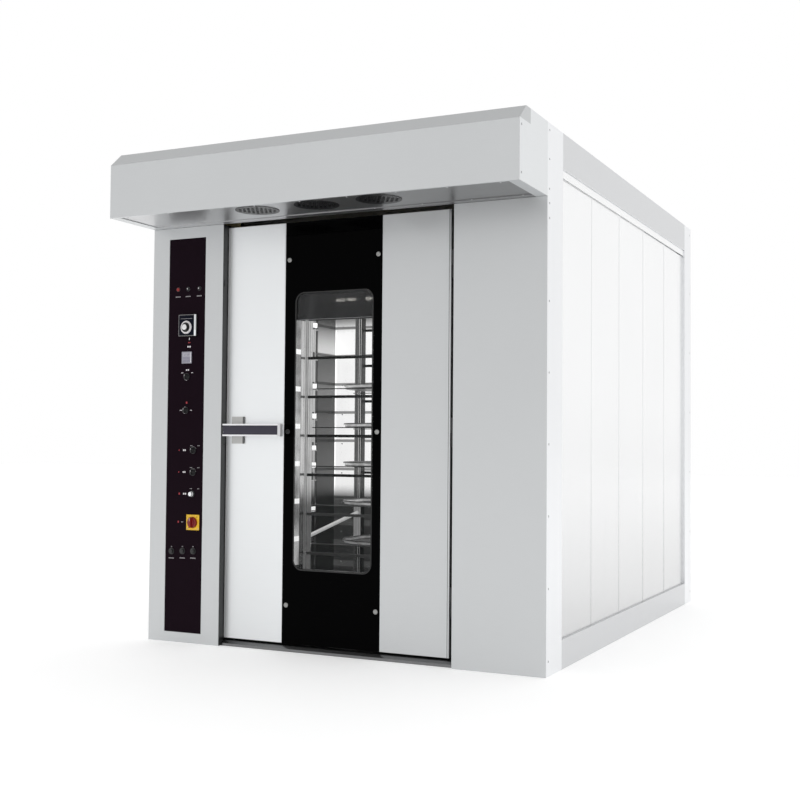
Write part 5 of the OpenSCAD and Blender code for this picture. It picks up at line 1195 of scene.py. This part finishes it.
class OVEN_OT_rack(bpy.types.Operator):
    """Trays with rolled rims, plugged holes in the posts and castor tyres with hubs and bolts"""
    bl_idname = "oven.rack"
    bl_label = "Rack"

    def execute(self, context):
        s = context.scene.oven_sizes
        low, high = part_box("baking_trays")
        middle_low = Vector(((low.x + high.x) / 2, (low.y + high.y) / 2, low.z))
        half, half_deep = (high.x - low.x) / 2, 0.245
        rounding, rolled_edge = 0.200, 0.007
        bpy.ops.mesh.primitive_plane_add(size=1, location=middle_low)
        tray = bpy.context.object
        tray.scale = (high.x - low.x - 2 * rolled_edge, high.y - low.y - 2 * rolled_edge, 1)
        settle(tray)
        shape(tray, (bpy.ops.mesh.bevel, {"offset": rounding - rolled_edge, "segments": 14, "affect": "VERTICES"}),
              points=lambda point: point.co.x < RACK.x - 0.1)
        shape(tray, (bpy.ops.mesh.bevel, {"offset": 0.02, "segments": 4, "affect": "VERTICES"}),
              points=lambda point: point.co.x > RACK.x + 0.25 and abs(point.co.y - middle_low.y) > 0.2)
        shape(tray, (bpy.ops.mesh.extrude_edges_move, {"TRANSFORM_OT_translate": {"value": (0, 0, 0.015)}}),
              edges=lambda line: line.is_boundary)
        for out, up in ((0.002, 0.0035), (0.0025, 0.0003), (0.0012, -0.003), (-0.0005, -0.003)):
            wider = ((half + out) / half, (half_deep + out) / half_deep, 1)
            shape(tray, (bpy.ops.mesh.extrude_edges_move, {"TRANSFORM_OT_translate": {"value": (0, 0, up)}}),
                  (bpy.ops.transform.resize, {"value": wider, "center_override": middle_low}),
                  edges=lambda line: line.is_boundary)
        modify(tray, "SOLIDIFY", thickness=s.tray_wall, offset=1)
        smooth(outward(tray), 40)
        trays = finish(copies(tray, [(0, 0, TRAY_PITCH * i) for i in range(TRAYS)]), "Tray steel")
        mount("trays", trays, "rack", "rack_steel", "baking_trays")

        plug = turned([(0.0042, 0), (0.0042, 0.0006), (0.0026, 0.0009)], sides=12)
        stand(plug, (0, 0, 0), FORWARD)
        heights = [start + TRAY_PITCH * i for start in (0.305, 0.250) for i in range(8)]
        holes = [(x, RACK_LOW.y + 0.0001, z) for x in (RACK_LOW.x + 0.020, RACK_HIGH.x - 0.020) for z in heights]
        mount("post_plugs", finish(copies(plug, holes), "Black plastic"), "rack", "rack_steel")

        for number in WHEELS:
            low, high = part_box(f"castor_wheel_{number}")
            at, radius, wide = (low + high) / 2, (high.z - low.z) / 2, high.y - low.y
            tyre = turned([(radius * 0.62, -wide * 0.36), (radius * 0.90, -wide * 0.5), (radius * 0.965, -wide * 0.42),
                           (radius, -wide * 0.2), (radius, wide * 0.2), (radius * 0.965, wide * 0.42),
                           (radius * 0.90, wide * 0.5), (radius * 0.62, wide * 0.36)], at, Y, 48)
            hub = turned([(radius * 0.24, -wide * 0.5), (radius * 0.30, -wide * 0.46), (radius * 0.34, -wide * 0.38),
                          (radius * 0.34, wide * 0.38), (radius * 0.30, wide * 0.46), (radius * 0.24, wide * 0.5)],
                         at, Y, 32)
            bolt = turned([(0.0022, 0), (0.0022, wide * 0.80)],
                          (at.x + radius * 0.46, at.y - wide * 0.40, at.z), Y, 8)
            pieces = finish([tyre], "Wheel plastic") + finish([hub, *about(bolt, Y, at, 6)], "Screw steel")
            mount(f"castor_tyre_{number}", pieces, f"wheel_{number}", "wheel_plastic", f"castor_wheel_{number}")
        return {"FINISHED"}


class OVEN_OT_machines(bpy.types.Operator):
    """Cooling fins of a fan motor and the bead of the flue pipe"""
    bl_idname = "oven.machines"
    bl_label = "Machines"

    def execute(self, context):
        motor = Vector((-0.3205, FRONT + 1.640, 2.043))
        fin = block((-0.088, -0.0012, 0.030), (-0.070, 0.0012, 0.125), 0.0005)
        fin.location = motor
        settle(fin)
        mount("motor_fins", finish(about(fin, Z, motor, 28), "Cast iron"), "oven", "machine_iron")
        at, top = middle("flue_pipe"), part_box("flue_pipe")[1].z
        bead = turned([(0.0752, -0.004), (0.0775, -0.002), (0.0775, 0.002), (0.0752, 0.004)],
                      (at.x, at.y, top - 0.086), Z, 64)
        shape(bead, (bpy.ops.mesh.delete, {"type": "FACE"}), faces=lambda face: len(face.verts) > 8)
        mount("flue_bead", finish(bead, "Polished steel"), "oven", "panel_steel")
        return {"FINISHED"}


# ---- Studio ----

class OVEN_OT_studio(bpy.types.Operator):
    """White studio: floor, soft light, chamber light and the camera"""
    bl_idname = "oven.studio"
    bl_label = "Studio"

    def execute(self, context):
        scene, studio = context.scene, context.scene.oven_studio
        bpy.ops.mesh.primitive_plane_add(size=60, location=(0, 0, 0))
        floor = context.object
        floor.name = "studio_floor"
        tile = Finish("Studio floor", emission_color=(1, 1, 1), emission_strength=0.35, specular_ior_level=0.1)
        grain = tile.noise((6, 6, 6), 3.0)
        tile.set(base_color=tile.mix(grain, (0.80, 0.80, 0.80), (0.82, 0.82, 0.82)), roughness=grain * 0.1 + 0.6)
        finish(floor, "Studio floor")

        world = bpy.data.worlds.new("Studio")
        scene.world = world
        world.use_nodes = True
        tree = world.node_tree
        tree.nodes.clear()
        out, towards, side, spread, soft, white, path, both = (tree.nodes.new("ShaderNode" + kind) for kind in (
            "OutputWorld", "TexCoord", "VectorMath", "MapRange", "Background", "Background", "LightPath", "MixShader"))
        side.operation = "DOT_PRODUCT"
        side.inputs[1].default_value = (0.44, 0.90, 0.0)
        for key, value in (("From Min", -1.0), ("From Max", 1.0), ("To Min", 1.05 * studio.sky),
                           ("To Max", 1.25 * studio.sky)):
            spread.inputs[key].default_value = value
        white.inputs["Strength"].default_value = 1.0
        white.inputs["Color"].default_value = (1, 1, 1, 1)
        for output, socket in (
                (towards.outputs["Generated"], side.inputs[0]), (side.outputs["Value"], spread.inputs["Value"]),
                (spread.outputs["Result"], soft.inputs["Strength"]),
                (path.outputs["Is Camera Ray"], both.inputs[0]), (soft.outputs[0], both.inputs[1]),
                (white.outputs[0], both.inputs[2]), (both.outputs[0], out.inputs[0])):
            tree.links.new(output, socket)

        for name, where, aim, size, share in (
                ("chamber_light", (RACK.x, FRONT + 1.10, 1.85), (RACK.x, FRONT + 0.5, 0.6), (1.1, 0.10), 1.0),
                ("chamber_fill", (0.54, FRONT + 0.25, 1.0), (-0.45, FRONT + 1.18, 1.0), (0.1, 1.4), 0.8)):
            bpy.ops.object.light_add(type="AREA", location=where)
            light = context.object
            light.name = name
            light.data.shape, light.data.size, light.data.size_y = "RECTANGLE", *size
            light.data.energy = studio.inside * share
            light.rotation_euler = (Vector(aim) - Vector(where)).to_track_quat("-Z", "Y").to_euler()

        yaw, pitch, roll, eye = studio.yaw, studio.pitch, studio.roll, studio.eye
        view = Vector((-math.sin(yaw) * math.cos(pitch), math.cos(yaw) * math.cos(pitch), math.sin(pitch)))
        right = Vector((math.cos(yaw), math.sin(yaw), 0))
        up = right.cross(view)
        across, over = right * math.cos(roll) + up * math.sin(roll), up * math.cos(roll) - right * math.sin(roll)
        bpy.ops.object.camera_add(location=eye)
        camera = context.object
        camera.matrix_world = Matrix((
            (across.x, over.x, -view.x, eye[0]), (across.y, over.y, -view.y, eye[1]),
            (across.z, over.z, -view.z, eye[2]), (0, 0, 0, 1)))
        camera.data.lens, camera.data.sensor_width = studio.lens, 36
        camera.data.clip_end = 200
        scene.camera = camera
        scene.view_settings.view_transform = "Standard"
        return {"FINISHED"}


PARTS = (OVEN_OT_finishes, OVEN_OT_sides, OVEN_OT_hood, OVEN_OT_fascia, OVEN_OT_switches, OVEN_OT_instruments,
         OVEN_OT_door, OVEN_OT_chamber, OVEN_OT_rack, OVEN_OT_machines, OVEN_OT_studio)


class OVEN_PT_panel(bpy.types.Panel):
    """Lists the oven's parts"""
    bl_label = "Rotating rack oven"
    bl_space_type = "VIEW_3D"
    bl_region_type = "UI"
    bl_category = "Oven"

    def draw(self, context):
        for part in PARTS:
            self.layout.operator(part.bl_idname)
        for group in (context.scene.oven_colours, context.scene.oven_sizes, context.scene.oven_studio):
            box = self.layout.box()
            for name in group.__annotations__:
                box.prop(group, name)


CLASSES = (OvenColours, OvenSizes, OvenStudio, *PARTS, OVEN_PT_panel)


def register():
    for item in CLASSES:
        bpy.utils.register_class(item)
    bpy.types.Scene.oven_colours = bpy.props.PointerProperty(type=OvenColours)
    bpy.types.Scene.oven_sizes = bpy.props.PointerProperty(type=OvenSizes)
    bpy.types.Scene.oven_studio = bpy.props.PointerProperty(type=OvenStudio)


def unregister():
    del bpy.types.Scene.oven_studio, bpy.types.Scene.oven_sizes, bpy.types.Scene.oven_colours
    for item in reversed(CLASSES):
        bpy.utils.unregister_class(item)


def main():
    register()
    bpy.ops.object.select_all(action="DESELECT")
    for part in PARTS:
        family, name = part.bl_idname.split(".")
        getattr(getattr(bpy.ops, family), name)()


if __name__ == "__main__":
    main()
